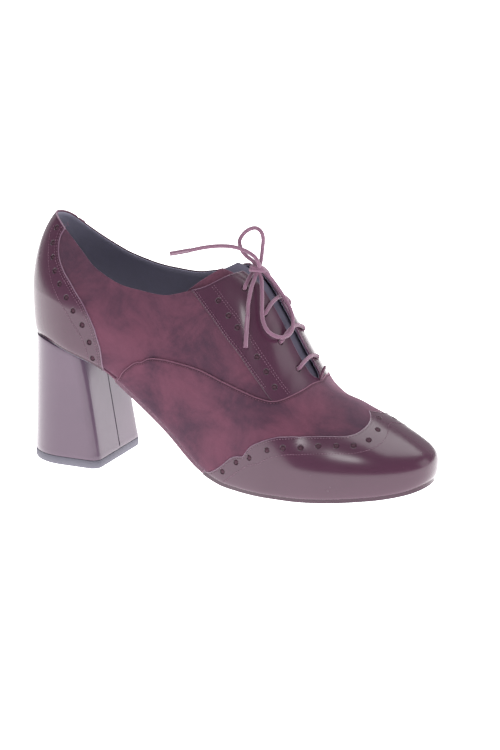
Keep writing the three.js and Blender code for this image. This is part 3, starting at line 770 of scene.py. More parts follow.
# a padded sheet under the facings: face, rounded edge and back
def tongueSheet(name, start, end, depth, thickness, material, slot, widen=0.0, low=-1.0, high=1.0):
    s = np.linspace(low, high, tongue["across"] + 1)
    t = np.linspace(0, 1, tongue["long"] + 1)
    s, t = np.meshgrid(s, t)
    at = start(s) + (end(s) - start(s)) * t
    y = s * (along(tongueRows, 1, at) * last["ball"] + widen)
    middle, n = onInstep(at, y, depth + thickness / 2)
    edge = np.minimum(s - low, high - s) * last["ball"] * 0.25
    edge = np.minimum(edge, np.minimum(t, 1 - t) * (end(s) - start(s)) * last["length"])
    rounded = np.sqrt(np.clip(1 - (1 - np.clip(edge / thickness, 0, 1)) ** 2, 0, 1)) * thickness / 2
    face, back = middle + n * rounded[..., None], middle - n * rounded[..., None]
    rows, columns = s.shape
    i, j = np.meshgrid(np.arange(rows - 1), np.arange(columns - 1), indexing="ij")
    k = (i * columns + j).ravel()
    front = np.stack([k, k + columns, k + columns + 1, k + 1], 1)
    points = np.vstack([face.reshape(-1, 3), back.reshape(-1, 3)])
    faces = np.vstack([front, front[:, ::-1] + rows * columns])
    piece = makeMesh(name, points, merged(points, faces), material)
    faceOut(piece, 60)
    return piece


# a round lace along a smooth route, with its pattern laid along it
def cordTube(name, points, diameter, material, step=0.55, flatEnds=False, sides=12):
    path = smoothPath(points, step)
    tangent = unit(np.gradient(path, axis=0))
    normal = unit(np.cross(tangent[0], (0.3, 0.2, 1.0)))
    frames = []
    for t in tangent:
        normal = unit(normal - t * (normal @ t))
        frames.append((normal, np.cross(t, normal)))
    way = wayAlong(path)
    toEnd = np.minimum(way, way[-1] - way)
    radius = diameter / 2 * (np.ones(len(path)) if flatEnds else
                             np.sqrt(np.clip(1 - (1 - np.clip(toEnd / (diameter / 2), 0.02, 1)) ** 2, 0.03, 1)))
    angles = np.linspace(0, 2 * math.pi, sides + 1)[:-1]
    rings = np.array([p + r * (np.outer(np.cos(angles), n) + np.outer(np.sin(angles), b))
                      for p, r, (n, b) in zip(path, radius, frames)])
    count = len(path)
    points = np.vstack([rings.reshape(-1, 3), path[:1], path[-1:]])
    faces = ringFaces(count, sides).tolist()
    faces += [[(k + 1) % sides, k, count * sides] for k in range(sides)]
    faces += [[(count - 1) * sides + k, (count - 1) * sides + (k + 1) % sides, count * sides + 1] for k in range(sides)]
    uv = np.column_stack([np.repeat(way, sides) / 10, np.tile(np.arange(sides) / sides, count)])
    uv = np.vstack([uv, [[0, 0], [way[-1] / 10, 0]]])
    piece = makeMesh(name, points, faces, material, uv=uv)
    faceOut(piece, 60)
    return piece, placed(path).tolist(), way[-1] * 0.001


# a seam's stations and a as one smooth line; stations are scaled so that both run alike
def seamRun(table, step):
    rows = np.array(table, float)
    flat = smoothPath(np.column_stack([rows[:, 0] / 100, rows[:, 1], np.zeros(len(rows))]), step)
    return flat[:, 0] * 100, flat[:, 1]


# evenly stepped points and normals of a seam
def seamLine(table, side, step):
    x, a = seamRun(table, 0.008)
    p, n = surfacePoint(x, side, a)
    way = wayAlong(p)
    evenly = np.linspace(0, way[-1], max(int(way[-1] / step), 2) + 1)
    p = np.column_stack([np.interp(evenly, way, p[:, k]) for k in range(3)])
    n = unit(np.column_stack([np.interp(evenly, way, n[:, k]) for k in range(3)]))
    return p, n


# the line moved over the surface, to its left as it runs
def besideLine(line, gap):
    p, n = line
    return p + unit(np.cross(n, np.gradient(p, axis=0))) * gap, n


stitch = {"pitch": 1.55, "length": 1.12, "width": 0.36, "height": 0.30}


# corners and faces of a primitive just added, which is then taken away
def modelled(size):
    model = bpy.context.object
    shape = np.array([v.co for v in model.data.vertices]) * size
    cells = [list(f.vertices) for f in model.data.polygons]
    bpy.data.objects.remove(model)
    return shape, cells


# one stitch is modelled and copied along every line; a line is points, normals and depth
def sewnStitches(name, lines, material):
    deselect()
    bpy.ops.mesh.primitive_uv_sphere_add(segments=6, ring_count=4, radius=0.5)
    shape, cells = modelled((stitch["height"], stitch["width"], stitch["length"]))
    points, faces = [], []
    for p, n, depth in lines:
        p = p - n * (depth + creaseDepth(p)[:, None])
        middle = (p[1:] + p[:-1]) / 2
        t = unit(p[1:] - p[:-1])
        up = unit((n[1:] + n[:-1]) / 2)
        up = unit(up - t * (up * t).sum(1)[:, None])
        across = np.cross(t, up)
        for m, a, b, c in zip(middle, up, across, t):
            base = len(points) * len(shape)
            points.append(m + shape @ np.array([a, b, c]))
            faces += [[k + base for k in cell] for cell in cells]
    return makeMesh(name, np.vstack(points), faces, material)


# dark discs laid just over the layer below the punched holes: painted shade of the hole floors
def holeFloors(name, holes, normals, depth, radius, material, thickness=0.16):
    deselect()
    bpy.ops.mesh.primitive_cylinder_add(vertices=16, radius=1.0, depth=1.0)
    shape, cells = modelled((radius, radius, thickness))
    points, faces = [], []
    for p, n in zip(holes, normals):
        across = unit(np.cross(n, (1.0, 0.1, 0.0)))
        base = len(points) * len(shape)
        sunk = p - n * (depth + creaseDepth(p[None])[0])
        points.append(sunk + shape @ np.array([across, np.cross(n, across), n]))
        faces += [[k + base for k in cell] for cell in cells]
    return makeMesh(name, np.vstack(points), faces, material)


# materials

def newGroup(name, inputs, outputs):
    group = bpy.data.node_groups.new(name, "ShaderNodeTree")
    for kind, title, value in inputs:
        socket = group.interface.new_socket(title, in_out="INPUT", socket_type=kind)
        if value is not None:
            socket.default_value = value
    for kind, title in outputs:
        group.interface.new_socket(title, in_out="OUTPUT", socket_type=kind)
    return group, group.nodes.new("NodeGroupInput"), group.nodes.new("NodeGroupOutput")


def node(tree, kind, links=(), fixed=(), **settings):
    made = tree.nodes.new("ShaderNode" + kind)
    for target, value in fixed:
        made.inputs[target].default_value = value
    for key, value in settings.items():
        if hasattr(made, key):
            setattr(made, key, value)
        else:
            made.inputs[key.replace("_", " ")].default_value = value
    for source, target in links:
        tree.links.new(source, made.inputs[target])
    return made


def srgb(*rgb):
    return tuple((c / 255 / 12.92 if c <= 10 else ((c / 255 + 0.055) / 1.055) ** 2.4) for c in rgb) + (1.0,)


def ramp(tree, source, low, high, start=0.0, end=1.0, kind="SMOOTHSTEP"):
    fixed = [("From Min", low), ("From Max", high), ("To Min", start), ("To Max", end)]
    return node(tree, "MapRange", [(source, "Value")], fixed, interpolation_type=kind)


# brushed suede: broad patches of turned nap, short streaks and fine fibre
def napGroup():
    group, given, out = newGroup("suedeNap", [
        ("NodeSocketVector", "Place", None), ("NodeSocketColor", "Dark", None), ("NodeSocketColor", "Light", None),
        ("NodeSocketFloat", "Patches", 34.0), ("NodeSocketFloat", "Fibre", 2600.0),
        ("NodeSocketFloat", "Contrast", 1.0),
    ], [("NodeSocketColor", "Colour"), ("NodeSocketFloat", "Height"), ("NodeSocketFloat", "Roughness")])
    place = given.outputs["Place"]
    patches = node(group, "TexNoise", [(place, "Vector"), (given.outputs["Patches"], "Scale")],
                   Detail=5.0, Roughness=0.62, Distortion=0.5)
    streakPlace = node(group, "Mapping", [(place, "Vector")], vector_type="TEXTURE", Scale=(2.2, 1.0, 0.8),
                       Rotation=(0.0, 0.5, 0.35))
    streaks = node(group, "TexNoise", [(streakPlace.outputs[0], "Vector")], Scale=330.0, Detail=5.0, Roughness=0.7)
    fibre = node(group, "TexNoise", [(place, "Vector"), (given.outputs["Fibre"], "Scale")], Detail=3.0, Roughness=0.8)
    spread = ramp(group, patches.outputs["Fac"], 0.30, 0.70)
    # patches, streaks and fibre each add a share around the middle
    mixed = node(group, "Math", [(streaks.outputs["Fac"], 0), (spread.outputs[0], 2)], [(1, 0.5)],
                 operation="MULTIPLY_ADD")
    grained = node(group, "Math", [(fibre.outputs["Fac"], 0), (mixed.outputs[0], 2)], [(1, 0.6)],
                   operation="MULTIPLY_ADD")
    centred = node(group, "Math", [(grained.outputs[0], 0)], [(1, 1.05)], operation="SUBTRACT")
    scaled = node(group, "Math", [(centred.outputs[0], 0), (given.outputs["Contrast"], 1)], [(2, 0.5)],
                  operation="MULTIPLY_ADD", use_clamp=True)
    colour = node(group, "Mix", [(scaled.outputs[0], 0), (given.outputs["Dark"], 6), (given.outputs["Light"], 7)],
                  data_type="RGBA")
    group.links.new(colour.outputs[2], out.inputs["Colour"])
    height = node(group, "Math", [(fibre.outputs["Fac"], 0), (streaks.outputs["Fac"], 1)], operation="ADD")
    group.links.new(height.outputs[0], out.inputs["Height"])
    rough = ramp(group, streaks.outputs["Fac"], 0.0, 1.0, 0.85, 1.0, "LINEAR")
    group.links.new(rough.outputs[0], out.inputs["Roughness"])
    return group


# finished leather: fine cells, faint creasing and soft smears in the polish
def hideGroup():
    group, given, out = newGroup("leatherGrain", [
        ("NodeSocketVector", "Place", None), ("NodeSocketColor", "Base", None), ("NodeSocketColor", "Worn", None),
        ("NodeSocketFloat", "Cells", 1500.0), ("NodeSocketFloat", "Gloss", 0.3), ("NodeSocketFloat", "Smear", 0.1),
    ], [("NodeSocketColor", "Colour"), ("NodeSocketFloat", "Height"), ("NodeSocketFloat", "Roughness")])
    place = given.outputs["Place"]
    cells = node(group, "TexVoronoi", [(place, "Vector"), (given.outputs["Cells"], "Scale")], feature="SMOOTH_F1")
    cloud = node(group, "TexNoise", [(place, "Vector")], Scale=26.0, Detail=3.0, Roughness=0.5, Distortion=0.4)
    rub = node(group, "TexNoise", [(place, "Vector")], Scale=120.0, Detail=6.0, Roughness=0.65)
    colour = node(group, "Mix", [(cloud.outputs["Fac"], 0), (given.outputs["Base"], 6), (given.outputs["Worn"], 7)],
                  data_type="RGBA")
    group.links.new(colour.outputs[2], out.inputs["Colour"])
    height = node(group, "Math", [(rub.outputs["Fac"], 0), (cells.outputs["Distance"], 2)], [(1, 0.35)],
                  operation="MULTIPLY_ADD")
    group.links.new(height.outputs[0], out.inputs["Height"])
    centred = node(group, "Math", [(rub.outputs["Fac"], 0)], [(1, 0.5)], operation="SUBTRACT")
    smear = node(group, "Math", [(centred.outputs[0], 0), (given.outputs["Smear"], 1), (given.outputs["Gloss"], 2)],
                 operation="MULTIPLY_ADD")
    group.links.new(smear.outputs[0], out.inputs["Roughness"])
    return group


# a cut edge: paler right at the cut, partly the raw edge's own colour and partly a painted highlight along it, with a
# painted shade in the pressed groove beside it and a painted shade ring just inside each cut, seen round the punched
# holes
def edgeGroup():
    group, given, out = newGroup("cutEdge", [
        ("NodeSocketColor", "Colour", None), ("NodeSocketFloat", "Edge", 9.0), ("NodeSocketFloat", "Cut", 9.0),
        ("NodeSocketColor", "Raw", None), ("NodeSocketFloat", "Shade", 0.25),
    ], [("NodeSocketColor", "Colour")])
    # paler right at the cut: the raw edge's colour with a painted highlight along the edge
    near = ramp(group, given.outputs["Edge"], 0.30, 0.75, 1.0, 0.0)
    # painted shade in the pressed groove, from 0.9 to 2.4 mm in from the seam, as strong as Shade
    grooveShade = ramp(group, given.outputs["Edge"], 0.9, 2.4, 1.0, 0.0)
    group.links.new(given.outputs["Shade"], grooveShade.inputs["To Min"])
    darker = node(group, "Mix", [(grooveShade.outputs[0], 0), (given.outputs["Colour"], 6)], [(7, srgb(38, 22, 32))],
                  data_type="RGBA")
    # painted shade ring just inside every cut, seen round the punched holes; at the outer cuts the pale edge covers it
    punched = ramp(group, given.outputs["Cut"], 0.15, 0.6, 0.55, 0.0)
    ringed = node(group, "Mix", [(punched.outputs[0], 0), (darker.outputs[2], 6)], [(7, srgb(46, 26, 38))],
                  data_type="RGBA")
    paler = node(group, "Mix", [(near.outputs[0], 0), (ringed.outputs[2], 6), (given.outputs["Raw"], 7)],
                 data_type="RGBA")
    group.links.new(paler.outputs[2], out.inputs["Colour"])
    return group


# lays the cut edge over a panel's colour, from the panel's own distance to its edge
def addCutEdge(material, rawWithHighlight, shade):
    tree = material.node_tree
    surface = tree.nodes["Principled BSDF"]
    before = surface.inputs["Base Color"].links[0].from_socket
    distance = node(tree, "Attribute", attribute_name="edge")
    cut = node(tree, "Attribute", attribute_name="cut")
    made = tree.nodes.new("ShaderNodeGroup")
    made.node_tree = cutEdge
    made.inputs["Raw"].default_value = rawWithHighlight
    made.inputs["Shade"].default_value = shade
    tree.links.new(before, made.inputs["Colour"])
    tree.links.new(distance.outputs["Fac"], made.inputs["Edge"])
    tree.links.new(cut.outputs["Fac"], made.inputs["Cut"])
    tree.links.new(made.outputs["Colour"], surface.inputs["Base Color"])
    return material


def newMaterial(name, group, values, bump, distance=0.0002, **shader):
    material = bpy.data.materials.new(name)
    material.use_nodes = True
    tree = material.node_tree
    surface = tree.nodes["Principled BSDF"]
    for key, value in shader.items():
        surface.inputs[key.replace("_", " ")].default_value = value
    place = node(tree, "TexCoord")
    made = tree.nodes.new("ShaderNodeGroup")
    made.node_tree = group
    for key, value in values.items():
        made.inputs[key].default_value = value
    tree.links.new(place.outputs["Object"], made.inputs["Place"])
    raised = node(tree, "Bump", [(made.outputs["Height"], "Height")], Strength=bump, Distance=distance)
    tree.links.new(made.outputs["Colour"], surface.inputs["Base Color"])
    tree.links.new(made.outputs["Roughness"], surface.inputs["Roughness"])
    tree.links.new(raised.outputs["Normal"], surface.inputs["Normal"])
    return material


nap, hide, cutEdge = napGroup(), hideGroup(), edgeGroup()
suedeLook = {"Dark": srgb(58, 41, 56), "Light": srgb(105, 62, 79), "Contrast": 0.85}
suedeShader = {"Sheen_Weight": 0.7, "Sheen_Roughness": 0.5, "Sheen_Tint": srgb(200, 165, 182),
               "Specular_IOR_Level": 0.12}
suede = newMaterial("suede", nap, suedeLook, 0.4, 0.0003, **suedeShader)
# the vamp's cut edge: pale raw edge with a painted highlight, and painted shade of 0.55 in the groove beside it
vampSuede = addCutEdge(newMaterial("suede_vamp", nap, suedeLook, 0.4, 0.0003, **suedeShader),
                       srgb(122, 82, 100), 0.55)
# a finished leather by its two colours, gloss, smear, cells and bump
def leather(name, base, worn, gloss, smear, cells, bump, distance=0.0002, **shader):
    look = {"Base": srgb(*base), "Worn": srgb(*worn), "Gloss": gloss, "Smear": smear, "Cells": cells}
    return newMaterial(name, hide, look, bump, distance, **shader)


# the gloss panels' cut edge: pale raw edge with a painted highlight, and painted shade of 0.25 in the groove beside it
gloss = addCutEdge(leather("gloss_leather", (66, 34, 53), (79, 44, 65), 0.25, 0.12, 1700.0, 0.04,
                           Specular_IOR_Level=0.5, Coat_Weight=0.15, Coat_Roughness=0.2), srgb(118, 88, 108), 0.25)
heelWrap = leather("heel_leather", (90, 71, 89), (105, 84, 102), 0.22, 0.12, 1700.0, 0.04,
                   Specular_IOR_Level=0.45, Coat_Weight=0.2, Coat_Roughness=0.15)
seamDark = leather("heel_seam", (44, 36, 48), (52, 42, 56), 0.8, 0.1, 1500.0, 0.05, Specular_IOR_Level=0.1)
lining = leather("lining", (140, 137, 156), (148, 145, 163), 0.72, 0.1, 1300.0, 0.12, Specular_IOR_Level=0.25)
padding = leather("tongue_lining", (78, 74, 90), (86, 82, 98), 0.75, 0.1, 1300.0, 0.12, Specular_IOR_Level=0.2)
sock = leather("sock", (74, 72, 86), (84, 82, 96), 0.65, 0.1, 1200.0, 0.12, Specular_IOR_Level=0.3)
outsole = leather("outsole", (92, 91, 103), (106, 105, 116), 0.62, 0.2, 900.0, 0.15, 0.0003, Specular_IOR_Level=0.3)
topPiece = leather("top_piece", (106, 103, 115), (117, 114, 126), 0.6, 0.2, 1100.0, 0.15, 0.0003,
                   Specular_IOR_Level=0.35)
# painted shade for the floors of the punched holes and eyelets
holeShade = leather("hole_floor_shade", (66, 38, 52), (78, 48, 62), 0.9, 0.05, 1300.0, 0.1)
thread = newMaterial("thread", nap, {"Dark": srgb(84, 48, 64), "Light": srgb(116, 74, 94), "Contrast": 0.8,
                                     "Patches": 300.0}, 0.2, 0.0001, Specular_IOR_Level=0.3)
paleThread = newMaterial("pale_thread", nap, {"Dark": srgb(104, 70, 88), "Light": srgb(140, 106, 124),
                                              "Contrast": 0.8, "Patches": 300.0}, 0.2, 0.0001,
                         Specular_IOR_Level=0.3)


def laceMaterial():
    material = bpy.data.materials.new("lace")
    material.use_nodes = True
    tree = material.node_tree
    surface = tree.nodes["Principled BSDF"]
    for key, value in (("Sheen Weight", 0.4), ("Sheen Roughness", 0.4), ("Specular IOR Level", 0.35),
                       ("Roughness", 0.6)):
        surface.inputs[key].default_value = value
    pattern = node(tree, "UVMap", uv_map="Pattern")
    heights = []
    for turn in (1, -1):
        strand = node(tree, "Mapping", [(pattern.outputs[0], "Vector")], Scale=(9.0, 4.0 * turn, 1.0))
        wave = node(tree, "TexWave", [(strand.outputs[0], "Vector")], wave_type="BANDS", bands_direction="DIAGONAL",
                    Scale=1.0, Distortion=0.0)
        heights.append(wave.outputs["Fac"])
    braid = node(tree, "Math", [(heights[0], 0), (heights[1], 1)], operation="MAXIMUM")
    place = node(tree, "TexCoord")
    fuzz = node(tree, "TexNoise", [(place.outputs["Object"], "Vector")], Scale=2400.0, Detail=3.0)
    height = node(tree, "Math", [(fuzz.outputs["Fac"], 0), (braid.outputs[0], 2)], [(1, 0.5)],
                  operation="MULTIPLY_ADD")
    raised = node(tree, "Bump", [(height.outputs[0], "Height")], Strength=0.5, Distance=0.0002)
    # colour follows the braid's height: painted shade in the grooves between the strands, paler on their crests
    colour = node(tree, "Mix", [(braid.outputs[0], 0)], [(6, srgb(104, 66, 88)), (7, srgb(140, 102, 124))],
                  data_type="RGBA")
    tree.links.new(colour.outputs[2], surface.inputs["Base Color"])
    tree.links.new(raised.outputs["Normal"], surface.inputs["Normal"])
    return material


lace = laceMaterial()
aglet = leather("aglet", (118, 84, 104), (140, 104, 124), 0.3, 0.1, 800.0, 0.05, 0.0001, Coat_Weight=0.5,
                Coat_Roughness=0.15)


# camera, floor and light

view = {"turn": 25.5, "rise": 16.7, "roll": 0.5, "distance": 1.8, "target": (0.010754, 0.001341, 0.057),
        "lens": 159.67, "sensor": 36.0}


def addCamera():
    turn, rise, roll = (math.radians(view[k]) for k in ("turn", "rise", "roll"))
    back = Vector((math.sin(turn) * math.cos(rise), -math.cos(turn) * math.cos(rise), math.sin(rise)))
    right = Vector((math.cos(turn), math.sin(turn), 0))
    up = back.cross(right)
    across = right * math.cos(roll) - up * math.sin(roll)
    above = right * math.sin(roll) + up * math.cos(roll)
    data = bpy.data.cameras.new("camera")
    data.lens, data.sensor_width, data.clip_end = view["lens"], view["sensor"], 20
    camera = bpy.data.objects.new("camera", data)
    bpy.context.scene.collection.objects.link(camera)
    turned = Matrix((across, above, back)).transposed().to_4x4()
    camera.matrix_world = Matrix.Translation(Vector(view["target"]) + back * view["distance"]) @ turned
    bpy.context.scene.camera = camera


studio = {
    "floor": 9.0, "floorWhite": 0.20, "floorGlow": 2.4, "world": 0.28,
    "lights": [  # name, place, size, strength in watts
        ("overhead", (0.0, 0.5, 1.7), (2.2, 1.8), 38.0),
        ("behind", (-0.3, 2.4, 0.9), (3.2, 1.4), 4.0),
        ("right", (2.3, 0.9, 0.8), (1.4, 1.4), 9.0),
        ("left", (-2.3, 0.6, 0.9), (1.4, 1.4), 4.0),
        ("front", (0.5, -2.2, 2.1), (0.8, 0.6), 14.0),
    ],
}


def addStudio():
    deselect()
    bpy.ops.mesh.primitive_plane_add(size=studio["floor"], location=(0, 0, 0))
    floor = bpy.context.object
    floor.name = "floor"
    material = bpy.data.materials.new("floor_paper")
    material.use_nodes = True
    surface = material.node_tree.nodes["Principled BSDF"]
    white = studio["floorWhite"]
    for key, value in (("Base Color", (white, white, white, 1)), ("Roughness", 0.9), ("Specular IOR Level", 0.1),
                       ("Emission Color", (1, 1, 1, 1)), ("Emission Strength", studio["floorGlow"])):
        surface.inputs[key].default_value = value
    floor.data.materials.append(material)
    world = bpy.data.worlds.new("studio")
    world.use_nodes = True
    level = studio["world"]
    world.node_tree.nodes["Background"].inputs["Color"].default_value = (level, level, level * 1.03, 1)
    bpy.context.scene.world = world
    for name, place, size, strength in studio["lights"]:
        bpy.ops.object.light_add(type="AREA", location=place)
        light = bpy.context.object
        light.name = name
        light.data.shape = "RECTANGLE"
        light.data.size, light.data.size_y = size
        light.data.energy = strength
        light.rotation_euler = (Vector((0, 0, 0.05)) - Vector(place)).to_track_quat("-Z", "Y").to_euler()
    bpy.context.scene.view_settings.view_transform = "Standard"


addCamera()
addStudio()
print("stage: camera, floor and lights")


# laces

laces = {"diameter": 2.2, "aglet": 2.5}
routes = {  # from the back of the last
    "end_1": [(137.6, -8.8, 118.9), (139.2, -9.7, 121.2), (138.4, -11.6, 125.7), (135.9, -11.8, 127.9),
              (130.7, -11.8, 130.0),
              (124.3, -12.0, 131.1), (116.0, -12.0, 130.6), (107.6, -12.0, 128.9), (99.6, -12.0, 126.6),
              (93.3, -12.0, 124.9), (88.0, -12.0, 123.5)],
    "aglet_1": [(99.2, -12.0, 126.5), (93.3, -12.0, 124.9), (87.5, -12.0, 123.4)],
    "loop_upper": [(137.0, -7.8, 119.4), (134.2, -6.6, 122.6), (129.6, -6.0, 125.3), (126.9, -6.0, 128.6),
                   (125.8, -5.8, 132.9),
                   (127.7, -5.5, 136.6), (131.1, -5.2, 139.6), (135.2, -5.0, 140.8), (138.0, -4.8, 139.1),
                   (139.1, -4.5, 135.6), (138.7, -4.5, 130.1), (138.2, -5.6, 123.2), (137.9, -7.6, 119.2)],
    "loop_lower": [(137.9, -8.6, 118.6), (139.8, -9.0, 115.0), (141.7, -12.1, 110.3), (143.3, -15.3, 105.7),
                   (144.7, -18.5, 101.1),
                   (146.5, -21.4, 95.5), (149.8, -22.2, 90.0), (154.2, -19.0, 86.4), (156.8, -13.4, 85.7),
                   (157.2, -7.7, 87.6), (155.5, -2.8, 91.8), (152.5, 0.0, 97.2), (148.8, 0.0, 103.2),
                   (145.4, -1.3, 108.9), (142.2, -4.6, 115.1), (138.6, -6.9, 118.8)],
    "end_2": [(137.3, -9.0, 118.4), (137.3, -11.2, 115.5), (137.6, -16.3, 111.3), (137.8, -19.1, 107.1),
              (137.7, -20.8, 102.7),
              (138.6, -23.3, 97.8), (139.8, -27.6, 89.7), (140.7, -30.5, 82.8)],
    "aglet_2": [(138.75, -23.9, 97.2), (139.8, -27.6, 89.7), (140.8, -30.8, 82.0)],
}
bars = [(0.561, 0.003, 0.185), (0.611, 0.003, 0.190), (0.650, 0.0, 0.185), (0.689, 0.0, 0.155)]


def makeLaces():
    for k, (at, skew, reach) in enumerate(bars, 1):
        points = []
        for s, rise in ((-1, -3.2), (-1, -1.0), (-0.985, 0.35), (-0.88, 1.0), (-0.6, 1.15), (-0.3, 1.3), (0, 1.45),
                        (0.3, 1.3), (0.6, 1.15), (0.88, 1.0), (0.985, 0.35), (1, -1.0), (1, -3.2)):
            p, n = onInstep(np.array([at + skew * (s + 1) / 2]), np.array([s * reach * last["ball"]]), -rise)
            points.append(p[0])
        piece, _, _ = cordTube(f"lace_row_{k}", points, laces["diameter"], lace)
        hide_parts(f"lace_bar_{k}")
    tips = {}
    for k in (1, 2):
        tip, _, _ = cordTube(f"lace_tip_{k}", routes[f"aglet_{k}"], laces["aglet"], aglet, flatEnds=True,
                             sides=16)
        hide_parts(f"aglet_{k}")
        tips[k] = tip
    knot = makeKnot()
    for key, nodeName, far, extra in (("loop_upper", "lace_loop_upper", "knot", [knot]),
                                       ("loop_lower", "lace_loop_lower", "knot", []),
                                       ("end_1", "lace_end_1", "fitting", [tips[1]]),
                                       ("end_2", "lace_end_2", "fitting", [tips[2]])):
        piece, path, length = cordTube("bow_" + key, routes[key], laces["diameter"], lace)
        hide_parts(nodeName)


knotShape = {"centre": (137.4, -8.05, 119.3), "across": 3.7, "front": 2.35, "turns": 2.35, "rise": 2.5,
             "low": -1.35, "swing": 0.75, "taper": 0.28, "start": -0.6, "shift": -0.3, "steps": 34, "lean": 25}


# the strand wound round the bow's strands, with its last turn rising to the left
def makeKnot():
    c = np.array(knotShape["centre"])
    lean = math.radians(knotShape["lean"])
    across = unit(np.array([math.cos(lean), math.sin(lean), 0.0]))
    front = unit(np.array([0.40, -0.84, 0.37]))
    up = unit(np.cross(across, front))
    up = up if up[2] > 0 else -up
    turns = []
    for k in range(knotShape["steps"] + 1):
        share = k / knotShape["steps"]
        angle = 2 * math.pi * knotShape["turns"] * share + knotShape["start"]
        reach = 1 - knotShape["taper"] * share
        height = knotShape["low"] + knotShape["rise"] * share - knotShape["swing"] * math.cos(angle) * share
        turns.append(c + across * (knotShape["across"] * reach * math.cos(angle) + knotShape["shift"])
                     + front * (knotShape["front"] * math.sin(angle)) + up * height)
    piece, _, _ = cordTube("bow_knot", turns, laces["diameter"], lace)
    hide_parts("lace_knot")
    return piece


makeLaces()
print("stage: laces")


# the upper

seams = {  # station and a
    "cap": [(115.2, -1.11), (116.6, -0.985), (119.2, -0.80), (122.0, -0.66), (129.0, -0.365), (137.4, -0.078),
            (145.4, 0.035), (152.9, 0.105), (159.2, 0.175), (165.5, 0.258), (171.0, 0.336), (176.6, 0.392),
            (182.7, 0.430), (188.1, 0.458), (193.2, 0.490), (197.0, 0.532), (199.9, 0.585), (201.8, 0.663),
            (202.7, 0.740), (202.7, 0.812), (202.0, 0.870), (200.8, 0.925), (198.6, 0.985)],
    "capInner": [(126.6, -0.99), (128.6, -0.85), (130.9, -0.70), (134.9, -0.505), (140.9, -0.277), (147.3, -0.093),
                 (152.9, 0.000), (158.8, 0.055), (164.5, 0.107), (169.3, 0.165), (177.7, 0.232), (185.3, 0.265),
                 (193.2, 0.295), (201.3, 0.340), (205.5, 0.380), (209.0, 0.430), (211.8, 0.505), (213.5, 0.600),
                 (213.9, 0.690), (213.4, 0.780), (212.3, 0.860), (211.2, 0.940), (210.8, 1.0)],
    "counter": [(26.2, 0.445), (24.0, 0.410), (22.4, 0.370), (21.9, 0.325), (22.5, 0.288), (23.6, 0.255),
                (25.4, 0.228), (29.0, 0.195), (33.7, 0.165), (38.4, 0.127), (42.9, 0.090), (46.3, 0.048), (49.4, 0.000),
                (51.5, -0.142), (53.3, -0.310), (53.9, -0.518), (54.0, -0.760), (53.9, -1.0), (53.8, -1.11)],
    "counterInner": [(16.0, 0.363), (14.3, 0.308), (15.3, 0.252), (16.7, 0.198), (19.0, 0.143), (21.8, 0.097),
                     (25.7, 0.055), (31.3, -0.002), (36.9, -0.157), (40.8, -0.260), (43.5, -0.395), (45.0, -0.560),
                     (45.2, -0.97)],
    "facing": [(104.9, 0.548), (117.3, 0.480), (129.6, 0.413), (141.5, 0.375), (151.9, 0.370), (158.0, 0.372)],
    "facingInner": [(115.3, 0.640), (128.4, 0.568), (140.8, 0.522), (151.7, 0.525), (163.5, 0.550)],
    "vamp": [(60.8, -1.11), (61.4, -1.0), (63.2, -0.787), (66.4, -0.458), (70.4, -0.250), (76.2, -0.042),
             (82.8, 0.062), (91.2, 0.127), (100.8, 0.177), (107.6, 0.205), (114.5, 0.225), (121.4, 0.231),
             (128.4, 0.233), (136.8, 0.240), (145.0, 0.270), (150.8, 0.308), (156.6, 0.370), (161.3, 0.463),
             (165.1, 0.583), (167.8, 0.705), (169.5, 0.838), (170.6, 0.93), (171.2, 1.0)],
}
punches = {
    "cap": [(129.2, -0.495), (138.1, -0.175), (146.3, 0.005), (157.0, 0.088), (165.7, 0.177), (174.7, 0.275),
            (183.7, 0.338), (192.7, 0.380), (201.2, 0.438), (207.3, 0.565), (208.6, 0.765)],
    "capMiddle": [(205.0, 0.97)],
    "counter": [(17.8, 0.363), (17.6, 0.278), (19.7, 0.215), (22.8, 0.160), (27.5, 0.115), (32.9, 0.068),
                (37.5, 0.015), (42.9, -0.100), (46.8, -0.325), (48.1, -0.672)],
    "facing": [(120.3, 0.575), (127.6, 0.530), (133.8, 0.502), (139.4, 0.482), (146.3, 0.480), (151.9, 0.478),
               (157.0, 0.470)],
    "radius": 1.42, "eyelet": 1.55,
}


def punchPlaces(table, side):
    rows = np.array(table, float)
    return surfacePoint(rows[:, 0], side, rows[:, 1])


# the seam's line in station and a, closed round the panel over the given corners
def closedOutline(table, corners):
    return np.vstack([np.column_stack(seamRun(table, 0.01)), corners])


def seamsOf(key, step=0.6):
    return [seamLine(seams[key], side, step)[0] for side in (-1, 1)]


# rows of a grid: even over the last, with four more over the turned edge
def levelsFrom(low, high, count):
    return np.concatenate([np.linspace(low, -1, 5)[:-1], np.linspace(-1, high, count)])


def makeCounter():
    grid = lastGrid(evenColumns(100, 0, columnAt(62, -1, 0.0).item()), levelsFrom(-1 - hemShare, 0.62, 92))
    corners = [(53.8, -1.5), (-90, -1.5), (-90, 1.3), (26.2, 1.3)]
    outlines = {side: closedOutline(seams["counter"], corners) for side in (-1, 1)}
    holes, normals = (np.vstack(both) for both in zip(*(punchPlaces(punches["counter"], side) for side in (-1, 1))))
    field, out = panelField(grid, seamsOf("counter"), outlines, holes, punches["radius"])
    field, out = cutAtCollar(grid, field, out, 0.25)
    trimmedPanel("heel_counter", grid, field, out, layers["counter"], gloss)
    return holes, normals


